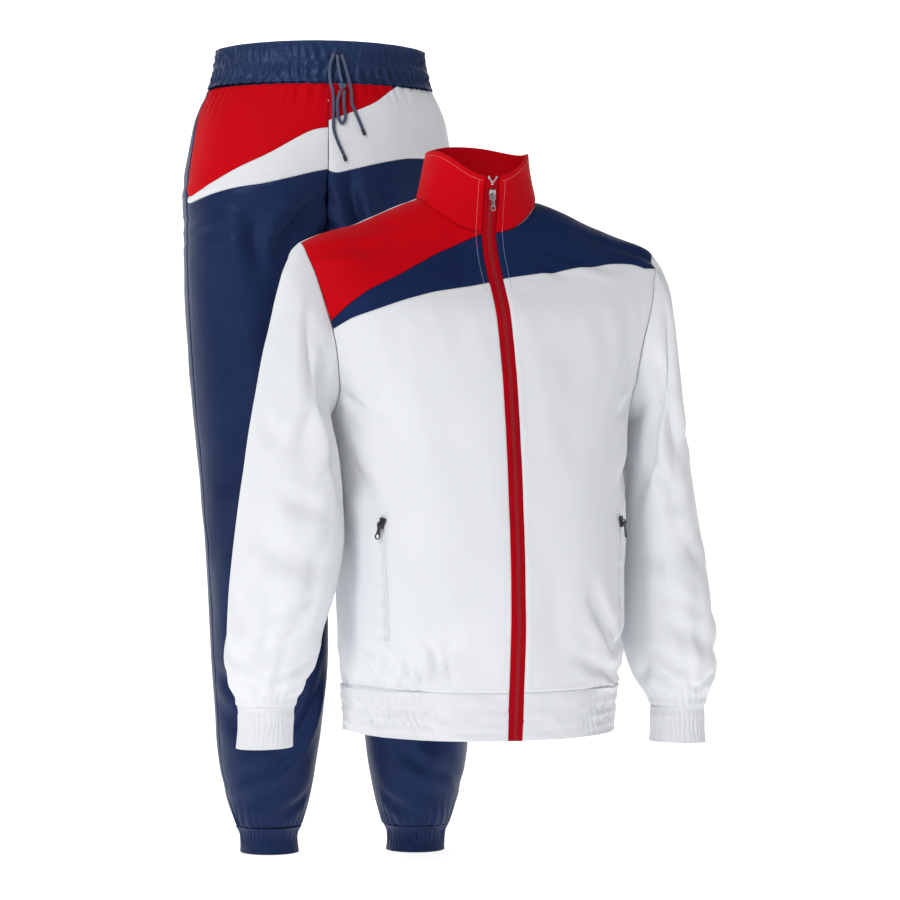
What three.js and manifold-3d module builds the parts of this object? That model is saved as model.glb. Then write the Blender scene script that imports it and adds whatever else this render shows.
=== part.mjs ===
// Tracksuit: a zipped jacket and a pair of trousers, both filled out as if worn, open at neck, waist, wrists
// and ankles. Millimetres, +Z up, fronts facing -Y, the wearer's right side at -X. The origin is the centre of
// the jacket's neck seam, where the wearer's shoulders hold it.
import * as THREE from "three";
import { mergeVertices } from "three/addons/utils/BufferGeometryUtils.js";
import Module from "manifold-3d";

const CLOTH = 1.6; // thickness of one cloth panel
const DOUBLED = 2.4; // thickness of collar, cuffs and bands, which are folded double
const SEAM_GAP = 0.3; // distance between neighbouring pieces
const LIFT = 0.35; // height of a laid-on piece above the panel below it
const ZIP_HALF = 9; // half width of the front zip's tape between the two fronts
const TROUSERS_AT = [-110, 337]; // x, y of the trousers' axis behind the jacket
const TROUSERS_TURN = -9; // degrees about Z
const CORD_RADIUS = 2;
const CORD_SIDES = 8;

// Zip sliders with their pull tabs; lengths in millimetres, axisOut from the slider's face to the pull's hinge.
const FRONT_SLIDER = { width: 8, height: 13, depth: 3.2, axisOut: 2.4, pullWidth: 6.5, pullLength: 19 };
const POCKET_SLIDER = { width: 8, height: 13, depth: 3, axisOut: 2.4, pullWidth: 7.5, pullLength: 20 };
const PULL_THICK = 1.4;
const PULL = { crossbar: 0.75, play: 0.4, headroom: 0.6, rim: 1.3, ring: 4 }; // bars and holes of the pull tab
const METAL_CUT = { bevelEnabled: false, curveSegments: 6 };
const LUG = { width: 2, outer: 2.3, hole: 1.35 }; // the slider's eye round the pull's crossbar
// Side pockets: angle round the body, heights, the strip's width and thickness, the slider's lean in degrees.
const POCKET = { around: 53.5, top: -379, foot: -527, width: 9, thick: 1.2, slider: -388, lean: 16 };
const BODY_RADIUS = 172; // length of one radian round the jacket's body

const COLOUR = {
  white: 0xf1f2f6,
  red: 0xd0081a,
  navy: 0x16264f,
  legs: 0x1d2c55,
  waist: 0x32426e,
  tape: 0xb00818,
  metal: 0xb9bcc2,
  dark: 0x2a2c33,
  cord: 0x8b97b4,
};

// Body of the jacket, from the hem up. front and back are [y, z] on the centre lines, side is [x, y, z] on the
// side line, which runs over the shoulder to the neck; round is 1 for an ellipse and less for a fuller ring.
const BODY = [
  { level: "hem edge", front: [-147, -644], side: [166, 4, -640], back: [112, -640], round: 0.85 },
  { level: "hem seam", front: [-152, -587], side: [170, 4, -583], back: [120, -583], round: 0.85 },
  { level: "hip", front: [-158, -510], side: [173, 3, -508], back: [126, -508], round: 0.85 },
  { level: "waist", front: [-157, -431], side: [176, 3, -431], back: [126, -431], round: 0.85 },
  { level: "ribs", front: [-147, -330], side: [178, 2, -332], back: [123, -332], round: 0.85 },
  { level: "armpit", front: [-134, -250], side: [185, 2, -257], back: [121, -250], round: 0.85 },
  { level: "chest", front: [-119, -186], side: [212, 2, -192], back: [119, -180], round: 0.92 },
  { level: "upper chest", front: [-104, -141], side: [240, 4, -128], back: [110, -112], round: 1.0 },
  { level: "arm top", front: [-84, -110], side: [243, 6, -84], back: [98, -70], round: 1.0 },
  { level: "shoulder point", front: [-70, -92], side: [221, 8, -54], back: [88, -42], round: 1.0 },
  { level: "mid shoulder", front: [-53, -66], side: [148, 10, -26], back: [74, -8], round: 0.95 },
  { level: "neck seam", front: [-45, -40], side: [74, 8, 2], back: [62, 20], round: 0.9 },
];
const HEM_SEAM = 1;
const ARMPIT = 5;
const SHOULDER = 9;
const NECK = 11;

const SHOULDER_SEAM = 96; // degrees at the neck; the seam starts on the side line at the shoulder point

const COLLAR = [
  { level: "neck seam", front: [-45, -40], side: [74, 8, 2], back: [62, 20], round: 0.9 },
  { level: "stand", front: [-51, -12], side: [68, 7, 27], back: [64, 42], round: 0.9 },
  { level: "rim", front: [-60, 26], side: [62, 4, 60], back: [66, 73], round: 0.9 },
];

// Armhole: an egg seen from the side, its widest place below the middle; the sleeve starts clear of it.
const ARMHOLE = { front: -56, back: 60, low: 0.16, clear: 0.35 };

// Sleeve rings below the armhole; outer and inner are [x, z], front and back the ring's ends in y.
// The right arm hangs a little forward, the left one closer to the body.
const SLEEVE_RIGHT = [
  { level: "cap", outer: [245, -92], inner: [193, -272], front: -72, back: 62, round: 1.05 },
  { level: "upper arm", outer: [261, -145], inner: [190, -294], front: -86, back: 58, round: 1.05 },
  { level: "biceps", outer: [275, -200], inner: [185, -322], front: -96, back: 50, round: 1.0 },
  { level: "above elbow", outer: [292, -282], inner: [183, -365], front: -104, back: 38, round: 0.95 },
  { level: "elbow", outer: [305, -360], inner: [183, -412], front: -105, back: 31, round: 0.92 },
  { level: "forearm", outer: [313, -438], inner: [192, -466], front: -101, back: 29, round: 0.92 },
  { level: "lower arm", outer: [317, -508], inner: [204, -516], front: -87, back: 36, round: 0.92 },
  { level: "fullest", outer: [318, -540], inner: [206, -542], front: -76, back: 39, round: 0.95 },
  { level: "blouse", outer: [314, -575], inner: [217, -574], front: -62, back: 36, round: 0.95 },
  { level: "cuff seam", outer: [302, -606], inner: [232, -606], front: -44, back: 31, round: 1 },
];
const SLEEVE_LEFT = [
  { level: "cap", outer: [240, -92], inner: [194, -272], front: -66, back: 68, round: 1.05 },
  { level: "upper arm", outer: [247, -145], inner: [191, -294], front: -72, back: 72, round: 1.05 },
  { level: "biceps", outer: [253, -200], inner: [189, -322], front: -74, back: 72, round: 1.0 },
  { level: "above elbow", outer: [263, -284], inner: [187, -366], front: -72, back: 70, round: 0.95 },
  { level: "elbow", outer: [276, -363], inner: [187, -414], front: -69, back: 67, round: 0.92 },
  { level: "forearm", outer: [290, -442], inner: [185, -470], front: -67, back: 63, round: 0.92 },
  { level: "lower arm", outer: [302, -515], inner: [186, -523], front: -65, back: 58, round: 0.92 },
  { level: "fullest", outer: [306, -549], inner: [190, -551], front: -62, back: 53, round: 0.95 },
  { level: "blouse", outer: [303, -585], inner: [204, -584], front: -54, back: 44, round: 0.95 },
  { level: "cuff seam", outer: [292, -617], inner: [225, -617], front: -42, back: 32, round: 1 },
];
const WRIST_RIGHT = [
  { level: "cuff seam", outer: [302, -606], inner: [232, -606], front: -44, back: 31, round: 1 },
  { level: "tuck", outer: [301, -612], inner: [233, -612], front: -42, back: 29, round: 1 },
  { level: "cuff", outer: [301.5, -632], inner: [234, -631], front: -41, back: 28, round: 1 },
  { level: "cuff edge", outer: [303, -657], inner: [235, -655], front: -42, back: 29, round: 1 },
];
const WRIST_LEFT = [
  { level: "cuff seam", outer: [292, -617], inner: [225, -617], front: -42, back: 32, round: 1 },
  { level: "tuck", outer: [291.5, -623], inner: [224, -623], front: -40.5, back: 30.5, round: 1 },
  { level: "cuff", outer: [292, -642], inner: [223.5, -641], front: -40, back: 30, round: 1 },
  { level: "cuff edge", outer: [293, -664], inner: [222.5, -662], front: -41, back: 31, round: 1 },
];
const ARMS = {
  [-1]: { word: "right", sleeve: SLEEVE_RIGHT, wrist: WRIST_RIGHT },
  [1]: { word: "left", sleeve: SLEEVE_LEFT, wrist: WRIST_LEFT },
};
const ARM_ROWS = SLEEVE_RIGHT.length;

// Colour seams on the jacket's fronts, from the zip outwards: x across, z up.
const RED_EDGE = [
  { x: -ZIP_HALF, z: -41 }, { x: -44, z: -56 }, { x: -77, z: -71 }, { x: -117, z: -91 }, { x: -143, z: -104 },
  { x: -160, z: -114 }, { x: -181, z: -130 }, { x: -200, z: -149 },
];
const NAVY_EDGE_RIGHT = [
  { x: -ZIP_HALF, z: -100 }, { x: -45, z: -107 }, { x: -85, z: -114 }, { x: -123, z: -125 },
  { x: -155, z: -137 }, { x: -178, z: -146 }, { x: -198, z: -159 },
];
const NAVY_EDGE_LEFT = [
  { x: ZIP_HALF, z: -96 }, { x: 45, z: -91 }, { x: 84, z: -85 }, { x: 122, z: -79 }, { x: 156, z: -74 },
  { x: 183, z: -74 }, { x: 203, z: -80 },
];

// Trousers, from the waist down. x and out are the leg tube's centre and radius, front and back its ends in y.
// Above the crotch the two tubes overlap, and each is cut off at the middle.
const LEG = [
  { level: "waist edge", z: 219, x: 0, out: 138, front: -97, back: 99 },
  { level: "channel", z: 195, x: 0, out: 142, front: -99, back: 102 },
  { level: "waist seam", z: 168, x: 0, out: 149, front: -102, back: 107 },
  { level: "high hip", z: 130, x: 6, out: 157, front: -105, back: 114 },
  { level: "hip", z: 92, x: 20, out: 151, front: -107, back: 119 },
  { level: "seat", z: 50, x: 44, out: 135, front: -106, back: 120 },
  { level: "low seat", z: 12, x: 68, out: 112, front: -102, back: 116 },
  { level: "above crotch", z: -18, x: 82, out: 97, front: -98, back: 110 },
  { level: "crotch", z: -42, x: 89.5, out: 89.3, front: -95, back: 104 },
  { level: "thigh", z: -120, x: 89.5, out: 88, front: -91, back: 97 },
  { level: "mid thigh", z: -236, x: 89, out: 86, front: -86, back: 90 },
  { level: "knee", z: -368, x: 90, out: 80, front: -80, back: 82 },
  { level: "calf", z: -551, x: 93, out: 77, front: -74, back: 76 },
  { level: "low calf", z: -640, x: 96, out: 71, front: -68, back: 70 },
  { level: "shin", z: -703, x: 98, out: 65, front: -62, back: 64 },
  { level: "blouse", z: -757, x: 97.5, out: 55, front: -53, back: 56 },
  { level: "ankle seam", z: -793, x: 97, out: 44, front: -44, back: 46 },
];
const ANKLE = [
  { level: "ankle seam", z: -793, x: 97, out: 44, front: -44, back: 46 },
  { level: "tuck", z: -799, x: 97, out: 40, front: -41, back: 42 },
  { level: "cuff", z: -810, x: 97, out: 38, front: -39, back: 40 },
  { level: "cuff edge", z: -827, x: 96, out: 38.5, front: -40, back: 41 },
];
const WAIST_SEAM = 2;
const CROTCH = 8;
const ANKLE_SEAM = 16;
const MIDDLE_GAP = 0.2; // each leg's distance from the middle plane
const LEG_DRIFT = { from: -40, to: -700, x: 29 }; // both legs drift to the wearer's left on their way down
// Side seams: degrees in front of the side line at the waistband, and from the hip down on each leg.
const SIDE_SEAM = { waist: -4, right: -15, left: -6, hip: 5.5 };
const WAIST_RISE = 4; // how far the waistband's edge rises in front and behind

// Colour seams on the trousers' fronts, from the middle outwards.
const HIP_RED_RIGHT = [
  { x: 0, z: 111 }, { x: -26, z: 105 }, { x: -76, z: 78 }, { x: -117, z: 59 }, { x: -147, z: 42 },
  { x: -172, z: 26 },
];
const HIP_WHITE_RIGHT = [
  { x: 0, z: 57 }, { x: -20, z: 53 }, { x: -76, z: 40 }, { x: -117, z: 34 }, { x: -147, z: 27 },
  { x: -173, z: 17 },
];
const HIP_RED_LEFT = [
  { x: 0, z: 120 }, { x: 25, z: 129 }, { x: 50, z: 139 }, { x: 66, z: 148 }, { x: 90, z: 168 },
];
const HIP_WHITE_LEFT = [
  { x: 0, z: 56 }, { x: 12, z: 53 }, { x: 35, z: 58 }, { x: 77, z: 68 }, { x: 115, z: 74 }, { x: 174, z: 73 },
];

// Gathers: waves out of the surface, with their number all round, height and the arc they fill.
const GATHERS = {
  waist: { waves: 56, height: 2.6 },
  wrist: { waves: 18, height: 1.8 },
  ankle: { waves: 18, height: 1.8 },
  hem: { waves: 14, height: 2.6, from: 38, to: 142 },
};

// Largest folds of the body: soft troughs from one place to another, each place an angle round and a height.
const BODY_FOLDS = [
  { from: [31, -466], to: [45, -522], depth: 5, width: 12 },
  { from: [-80, -300], to: [-58, -360], depth: 5, width: 18 },
  { from: [78, -290], to: [56, -350], depth: 5, width: 18 },
  { from: [-36, -566], to: [-20, -515], depth: 4, width: 15 },
  { from: [-120, -300], to: [-150, -380], depth: 5, width: 20 },
  { from: [118, -310], to: [152, -400], depth: 5, width: 20 },
  { from: [-150, -560], to: [-128, -480], depth: 5, width: 18 },
  { from: [140, -565], to: [165, -470], depth: 4, width: 18 },
];
const SLEEVE_FOLDS = [
  { from: [70, -150], to: [120, -260], depth: 5, width: 16 },
  { from: [110, -240], to: [60, -330], depth: 5, width: 15 },
  { from: [40, -400], to: [130, -440], depth: 4, width: 15 },
  { from: [30, -545], to: [110, -505], depth: 5, width: 14 },
  { from: [230, -300], to: [290, -360], depth: 4, width: 16 },
  { from: [240, -460], to: [310, -500], depth: 4, width: 15 },
  { from: [200, -555], to: [280, -530], depth: 4, width: 14 },
];
const LEG_FOLDS = [
  { from: [-120, 30], to: [-104, -60], depth: 6, width: 15 },
  { from: [-80, 20], to: [-88, -80], depth: 4, width: 14 },
  { from: [-140, -90], to: [-90, -160], depth: 5, width: 18 },
  { from: [-30, -640], to: [-110, -700], depth: 6, width: 18 },
  { from: [-100, -735], to: [-20, -765], depth: 4, width: 14 },
  { from: [-60, -380], to: [-20, -430], depth: 4, width: 20 },
  { from: [110, -60], to: [60, -130], depth: 5, width: 18 },
  { from: [100, -370], to: [50, -400], depth: 5, width: 18 },
  { from: [40, -690], to: [120, -740], depth: 5, width: 16 },
];

// Drawstring on the front of the waistband: x and z as seen from the front, out from the cloth to the centre.
const STRANDS = [
  { name: "cord_right", steps: 22, route: [
    [6.5, 205, 0.5], [6, 203, 3.6], [1.9, 189, 3.2], [1.9, 170, 2.8], [5.6, 153, 2.8], [5.8, 122, 2.8],
    [6.3, 107, 2.8], [11.6, 91, 2.8], [19, 75, 2.8],
  ] },
  { name: "cord_left", steps: 18, route: [
    [17.5, 203, 0.5], [18, 201, 3.6], [23, 185, 3.2], [28.9, 158, 2.8], [29.7, 143, 2.8], [32.7, 134, 2.8],
    [40, 117, 2.8], [43, 109.5, 2.8],
  ] },
  { name: "cord_bow", steps: 8, route: [
    [11.5, 203, 0.5], [11.8, 201, 3.6], [12.5, 190, 4.4], [15, 176, 5], [16.8, 169.1, 5.2],
  ] },
  { name: "cord_loop", steps: 18, route: [
    [14.6, 157.8, 5], [12, 148, 4], [11, 138, 3.2], [12.4, 122, 2.8], [16.8, 115.5, 2.8], [21, 122, 2.8],
    [19.6, 138, 3.2], [19.4, 148, 4], [19.9, 157.7, 5],
  ] },
];
const KNOT = { x: 17.3, z: 163.3, out: 5.2, radii: [6, 4, 5.4] };
const TIPS = [
  { name: "tip_right", from: [19.2, 74.6, 2.8], to: [21.8, 66.8, 2.8] },
  { name: "tip_left", from: [43.2, 109, 2.8], to: [46.4, 100.5, 2.8] },
];
const TIP_RADIUS = 2.3;

const materials = {};
for (const [name, color] of Object.entries(COLOUR)) {
  const metal = name === "metal" || name === "dark";
  const look = metal ? { roughness: 0.35, metalness: 0.9 } : { roughness: 0.55, metalness: 0 };
  materials[name] = new THREE.MeshStandardMaterial({ color, ...look });
}

const radians = THREE.MathUtils.degToRad;
const lerp = THREE.MathUtils.lerp;
const signedPower = (value, power) => Math.sign(value) * Math.abs(value) ** power;
const range = (count) => Array.from({ length: count + 1 }, (_, i) => i / count);

// Value of a smooth curve through numbers, at place t counted in rows.
function through(values, t) {
  const i = Math.min(Math.max(Math.floor(t), 0), values.length - 2);
  const f = t - i;
  const at = (k) => values[Math.min(Math.max(k, 0), values.length - 1)];
  const slopeIn = (at(i + 1) - at(i - 1)) / 2;
  const slopeOut = (at(i + 2) - at(i)) / 2;
  const rise = at(i + 1) - at(i);
  const square = 3 * rise - 2 * slopeIn - slopeOut;
  const cube = slopeIn + slopeOut - 2 * rise;
  return at(i) + f * slopeIn + f * f * square + f * f * f * cube;
}

// A table's rows as functions of place: one curve for each number in each column.
function columnsOf(table) {
  const curves = {};
  for (const [name, first] of Object.entries(table[0])) {
    if (name === "level") continue;
    const lists = [first].flat().map((_, k) => table.map((row) => [row[name]].flat()[k]));
    curves[name] = (t) => (Array.isArray(first) ? lists.map((list) => through(list, t)) : through(lists[0], t));
  }
  return curves;
}

// Depth of the folds at a place, in millimetres: a trough tapers to both of its ends.
function foldDepth(folds, around, up, radius) {
  let depth = 0;
  for (const fold of folds) {
    const [x0, y0] = [radians(fold.from[0]) * radius, fold.from[1]];
    const [x1, y1] = [radians(fold.to[0]) * radius, fold.to[1]];
    const [x, y] = [radians(around) * radius, up];
    const [dx, dy] = [x1 - x0, y1 - y0];
    const share = ((x - x0) * dx + (y - y0) * dy) / (dx * dx + dy * dy);
    if (share < -0.3 || share > 1.3) continue;
    const off = Math.abs((x - x0) * dy - (y - y0) * dx) / Math.hypot(dx, dy);
    const taper = Math.cos(((share - 0.5) / 0.8) * (Math.PI / 2)) ** 2;
    depth += fold.depth * taper * Math.exp(-((off / fold.width) ** 2));
  }
  return depth;
}

// Outward normal of a surface given as a function of two places.
function normalOf(point, a, b, stepA, stepB) {
  const alongA = point(a + stepA, b).sub(point(a - stepA, b));
  const alongB = point(a, b + stepB).sub(point(a, b - stepB));
  return alongA.cross(alongB).normalize();
}

// A surface of rings round the Z axis: around is in degrees from the front towards +X, t counts the rows. dip is
// 2 where a ring lies in a plane, and more where its height changes faster beside the front.
function ringSurface(table, dip = () => 2) {
  const columns = columnsOf(table);
  const last = table.length - 1;
  const plain = (around, t) => {
    const side = columns.side(t);
    const round = columns.round(t);
    const c = Math.cos(radians(around));
    const s = Math.sin(radians(around));
    const end = c >= 0 ? columns.front(t) : columns.back(t);
    return new THREE.Vector3(
      side[0] * signedPower(s, round),
      lerp(side[1], end[0], Math.abs(c) ** round),
      lerp(side[2], end[1], Math.abs(c) ** (c > 0 ? dip(t) : 2)),
    );
  };
  const clampRow = (t) => Math.min(Math.max(t, 0.002), last - 0.002);
  const normal = (around, t) => normalOf(plain, around, clampRow(t), 0.5, 0.002);
  // Angle at which the ring at t has the given x, on its front half.
  const aroundAtX = (x, t) => {
    const share = Math.min(1, Math.abs(x) / columns.side(t)[0]) ** (1 / columns.round(t));
    return Math.sign(x) * THREE.MathUtils.radToDeg(Math.asin(share));
  };
  // Angle at which the ring at t has the given y, on the +X side.
  const aroundAtY = (y, t) => {
    const side = columns.side(t);
    const end = y < side[1] ? columns.front(t) : columns.back(t);
    const share = Math.min(1, Math.abs((y - side[1]) / (end[0] - side[1]))) ** (1 / columns.round(t));
    const turned = THREE.MathUtils.radToDeg(Math.asin(share));
    return y < side[1] ? 90 - turned : 90 + turned;
  };
  // Row at which the surface has height z, along the places that aroundAt gives.
  const rowAtZ = (z, aroundAt, low = 0, high = last) => {
    let [a, b] = [low, high];
    for (let i = 0; i < 40; i++) {
      const t = (a + b) / 2;
      if (plain(aroundAt(t), t).z < z) a = t;
      else b = t;
    }
    return (a + b) / 2;
  };
  return { plain, normal, aroundAtX, aroundAtY, rowAtZ, last };
}

const body = ringSurface(BODY);
const collar = ringSurface(COLLAR, (t) => 2 + t / 2);

function bodyPoint(around, t) {
  const base = body.plain(around, t);
  const turned = around > 180 ? around - 360 : around < -180 ? around + 360 : around;
  const depth = foldDepth(BODY_FOLDS, turned, base.z, 165);
  return base.addScaledVector(body.normal(around, t), -depth);
}

const placeAtX = (x, z) => {
  const t = body.rowAtZ(z, (row) => body.aroundAtX(x, row));
  return [body.aroundAtX(x, t), t];
};

// Points along a seam given by its x and z, as places on the jacket's body.
function seamPlaces(seam, count) {
  const xs = seam.map((p) => p.x);
  const zs = seam.map((p) => p.z);
  const last = seam.length - 1;
  return range(count).map((f) => placeAtX(through(xs, f * last), through(zs, f * last)));
}

// Place on the body of the armhole's point at angle turn: 0 at the shoulder, 90 in front, 180 at the armpit.
function armholePlace(turn, side) {
  const top = body.plain(90, SHOULDER);
  const foot = body.plain(90, ARMPIT);
  const c = Math.cos(radians(turn));
  const s = Math.sin(radians(turn));
  const middle = lerp(foot.y, top.y, (1 + c) / 2);
  const reach = s >= 0 ? ARMHOLE.front - middle : ARMHOLE.back - middle;
  const y = middle + reach * Math.abs(s) * (1 - ARMHOLE.low * c);
  const z = lerp(foot.z, top.z, (1 + c) / 2);
  if (Math.abs(s) < 1e-6) return [90 * side, c > 0 ? SHOULDER : ARMPIT];
  const t = body.rowAtZ(z, (row) => body.aroundAtY(y, row), ARMPIT - 1, SHOULDER + 1);
  return [body.aroundAtY(y, t) * side, t];
}

// Angle round the armhole at which its front meets the end of a colour seam.
function armholeTurnAt(z) {
  let [a, b] = [0, 180];
  for (let i = 0; i < 30; i++) {
    const turn = (a + b) / 2;
    if (body.plain(...armholePlace(turn, 1)).z > z) a = turn;
    else b = turn;
  }
  return (a + b) / 2;
}

const between = (from, to, count) => range(count).map((f) => lerp(from, to, f));
const joined = (...lists) => lists.flatMap((list, k) => (k ? list.slice(1) : list));

// Grid of places inside four edges, each a list of places; left and right run up, bottom and top run across.
function patch(left, right, bottom, top) {
  const rows = left.length - 1;
  const across = bottom.length - 1;
  return left.map((_, j) =>
    bottom.map((_, i) => {
      const u = i / across;
      const v = j / rows;
      return [0, 1].map((k) => {
        const ruled = lerp(bottom[i][k], top[i][k], v) + lerp(left[j][k], right[j][k], u);
        const low = lerp(bottom[0][k], bottom[across][k], u);
        const high = lerp(top[0][k], top[across][k], u);
        return ruled - lerp(low, high, v);
      });
    }),
  );
}

// Moves the edge points of both faces of a wall into the panel by half the seam gap.
function trim(faces, ring) {
  const half = SEAM_GAP / 2;
  const [outer] = faces;
  const rows = outer.length;
  const count = outer[0].length;
  const moves = new Map();
  const add = (j, i, nextJ, nextI, alongJ, alongI) => {
    const inward = outer[nextJ][nextI].clone().sub(outer[j][i]);
    const edge = outer[alongJ[1]][alongI[1]].clone().sub(outer[alongJ[0]][alongI[0]]).normalize();
    inward.addScaledVector(edge, -inward.dot(edge)).setLength(half);
    const key = j * count + i;
    moves.set(key, (moves.get(key) || new THREE.Vector3()).add(inward));
  };
  for (let i = 0; i < count; i++) {
    const span = [Math.max(i - 1, 0), Math.min(i + 1, count - 1)];
    add(0, i, 1, i, [0, 0], span);
    add(rows - 1, i, rows - 2, i, [rows - 1, rows - 1], span);
  }
  if (!ring) {
    for (let j = 0; j < rows; j++) {
      const span = [Math.max(j - 1, 0), Math.min(j + 1, rows - 1)];
      add(j, 0, j, 1, span, [0, 0]);
      add(j, count - 1, j, count - 2, span, [count - 1, count - 1]);
    }
  }
  for (const face of faces) {
    for (const [key, move] of moves) face[Math.floor(key / count)][key % count].add(move);
  }
}

// Closed wall between an outer and an inner grid of points; a ring closes on itself across.
function wallMesh(name, material, outer, inner, ring = false) {
  trim([outer, inner], ring);
  const rows = outer.length;
  const count = outer[0].length;
  const positions = [...outer, ...inner].flat().flatMap((p) => [p.x, p.y, p.z]);
  const faces = [];
  const at = (side, j, i) => (side * rows + j) * count + (i % count);
  const quad = (a, b, c, d) => faces.push(a, b, c, a, c, d);
  const spans = ring ? count : count - 1;
  for (let j = 0; j < rows - 1; j++) {
    for (let i = 0; i < spans; i++) {
      const next = (i + 1) % count;
      const rising = outer[j][i].distanceTo(outer[j + 1][next]) <= outer[j][next].distanceTo(outer[j + 1][i]);
      const cell = (side) => [at(side, j, i), at(side, j, i + 1), at(side, j + 1, i + 1), at(side, j + 1, i)];
      const turned = ([a, b, c, d]) => (rising ? [a, b, c, d] : [b, c, d, a]);
      quad(...turned(cell(0)));
      const [a, b, c, d] = turned(cell(1));
      faces.push(c, b, a, d, c, a);
    }
  }
  for (let i = 0; i < spans; i++) {
    quad(at(1, 0, i), at(1, 0, i + 1), at(0, 0, i + 1), at(0, 0, i));
    quad(at(0, rows - 1, i), at(0, rows - 1, i + 1), at(1, rows - 1, i + 1), at(1, rows - 1, i));
  }
  for (let j = 0; j < rows - 1 && !ring; j++) {
    quad(at(0, j, 0), at(0, j + 1, 0), at(1, j + 1, 0), at(1, j, 0));
    quad(at(1, j, spans), at(1, j + 1, spans), at(0, j + 1, spans), at(0, j, spans));
  }
  const geometry = new THREE.BufferGeometry();
  geometry.setAttribute("position", new THREE.Float32BufferAttribute(positions, 3));
  geometry.setIndex(signedVolume(positions, faces) < 0 ? faces.toReversed() : faces);
  geometry.computeVertexNormals();
  const mesh = new THREE.Mesh(geometry, material);
  mesh.name = name;
  return mesh;
}

function signedVolume(positions, faces) {
  const corner = (k) => new THREE.Vector3().fromArray(positions, faces[k] * 3);
  let sum = 0;
  for (let k = 0; k < faces.length; k += 3) sum += corner(k).dot(corner(k + 1).cross(corner(k + 2)));
  return sum;
}

const jacket = new THREE.Group();
const trousers = new THREE.Group();
trousers.position.set(TROUSERS_AT[0], TROUSERS_AT[1], 0);
trousers.rotation.z = radians(TROUSERS_TURN);

// The middle of an armhole: the cloth's thickness at the armhole seam points there.
const armholeMiddle = (side) => {
  const top = body.plain(90, SHOULDER);
  const foot = body.plain(90, ARMPIT);
  return new THREE.Vector3(((top.x + foot.x) / 2) * side, (top.y + foot.y) / 2, (top.z + foot.z) / 2);
};

// One panel of the jacket's body; isArmhole gives the armhole's side where an edge point lies on it, else 0.
function bodyPanel(name, material, places, thickness = CLOTH, isArmhole = () => 0) {
  const outer = places.map((row) => row.map((p) => bodyPoint(...p)));
  const inner = places.map((row, j) =>
    row.map((p, i) => {
      const side = isArmhole(j, i);
      const inward = side
        ? armholeMiddle(side).sub(outer[j][i]).normalize()
        : body.normal(...p).negate();
      return outer[j][i].clone().addScaledVector(inward, thickness);
    }),
  );
  jacket.add(wallMesh(name, material, outer, inner));
}

const redTurn = armholeTurnAt(RED_EDGE.at(-1).z);
const navyTurnRight = armholeTurnAt(NAVY_EDGE_RIGHT.at(-1).z);
const navyTurnLeft = armholeTurnAt(NAVY_EDGE_LEFT.at(-1).z);
const UPPER_STEPS = 4;
const LOWER_STEPS = 5;
const BACK_STEPS = 8;
const SIDE_ROWS = 8;
const SHOULDER_STEPS = 3;
const NECK_STEPS = 8;
const BACK_ACROSS = 14;

const frontTurns = {
  [-1]: joined(
    between(0, redTurn, UPPER_STEPS),
    [redTurn, navyTurnRight],
    between(navyTurnRight, 180, LOWER_STEPS),
  ),
  [1]: joined(between(0, navyTurnLeft, UPPER_STEPS - 1), between(navyTurnLeft, 180, LOWER_STEPS + 1)),
};
const backTurns = between(180, 360, BACK_STEPS);

const places = (turns, side) => turns.map((turn) => armholePlace(turn, side));
const zipEdge = (side, rows) => rows.map((t) => [body.aroundAtX(ZIP_HALF * side, t), t]);
const sideSeam = (side) => between(HEM_SEAM, ARMPIT, SIDE_ROWS).map((t) => [90 * side, t]);
const neckAround = (side) =>
  between(body.aroundAtX(ZIP_HALF * side, NECK), SHOULDER_SEAM * side, NECK_STEPS);
const neckEdge = (side) => neckAround(side).map((a) => [a, NECK]);
const shoulderSeam = (side) => range(SHOULDER_STEPS).map((f) =>
  [lerp(90, SHOULDER_SEAM, f) * side, lerp(SHOULDER, NECK, f)],
);

// Ends of a seam's places are moved onto the zip's edge and the armhole.
function seamBetween(seam, start, end, count) {
  const list = seamPlaces(seam, count);
  list[0] = start;
  list[count] = end;
  return list;
}

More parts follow.
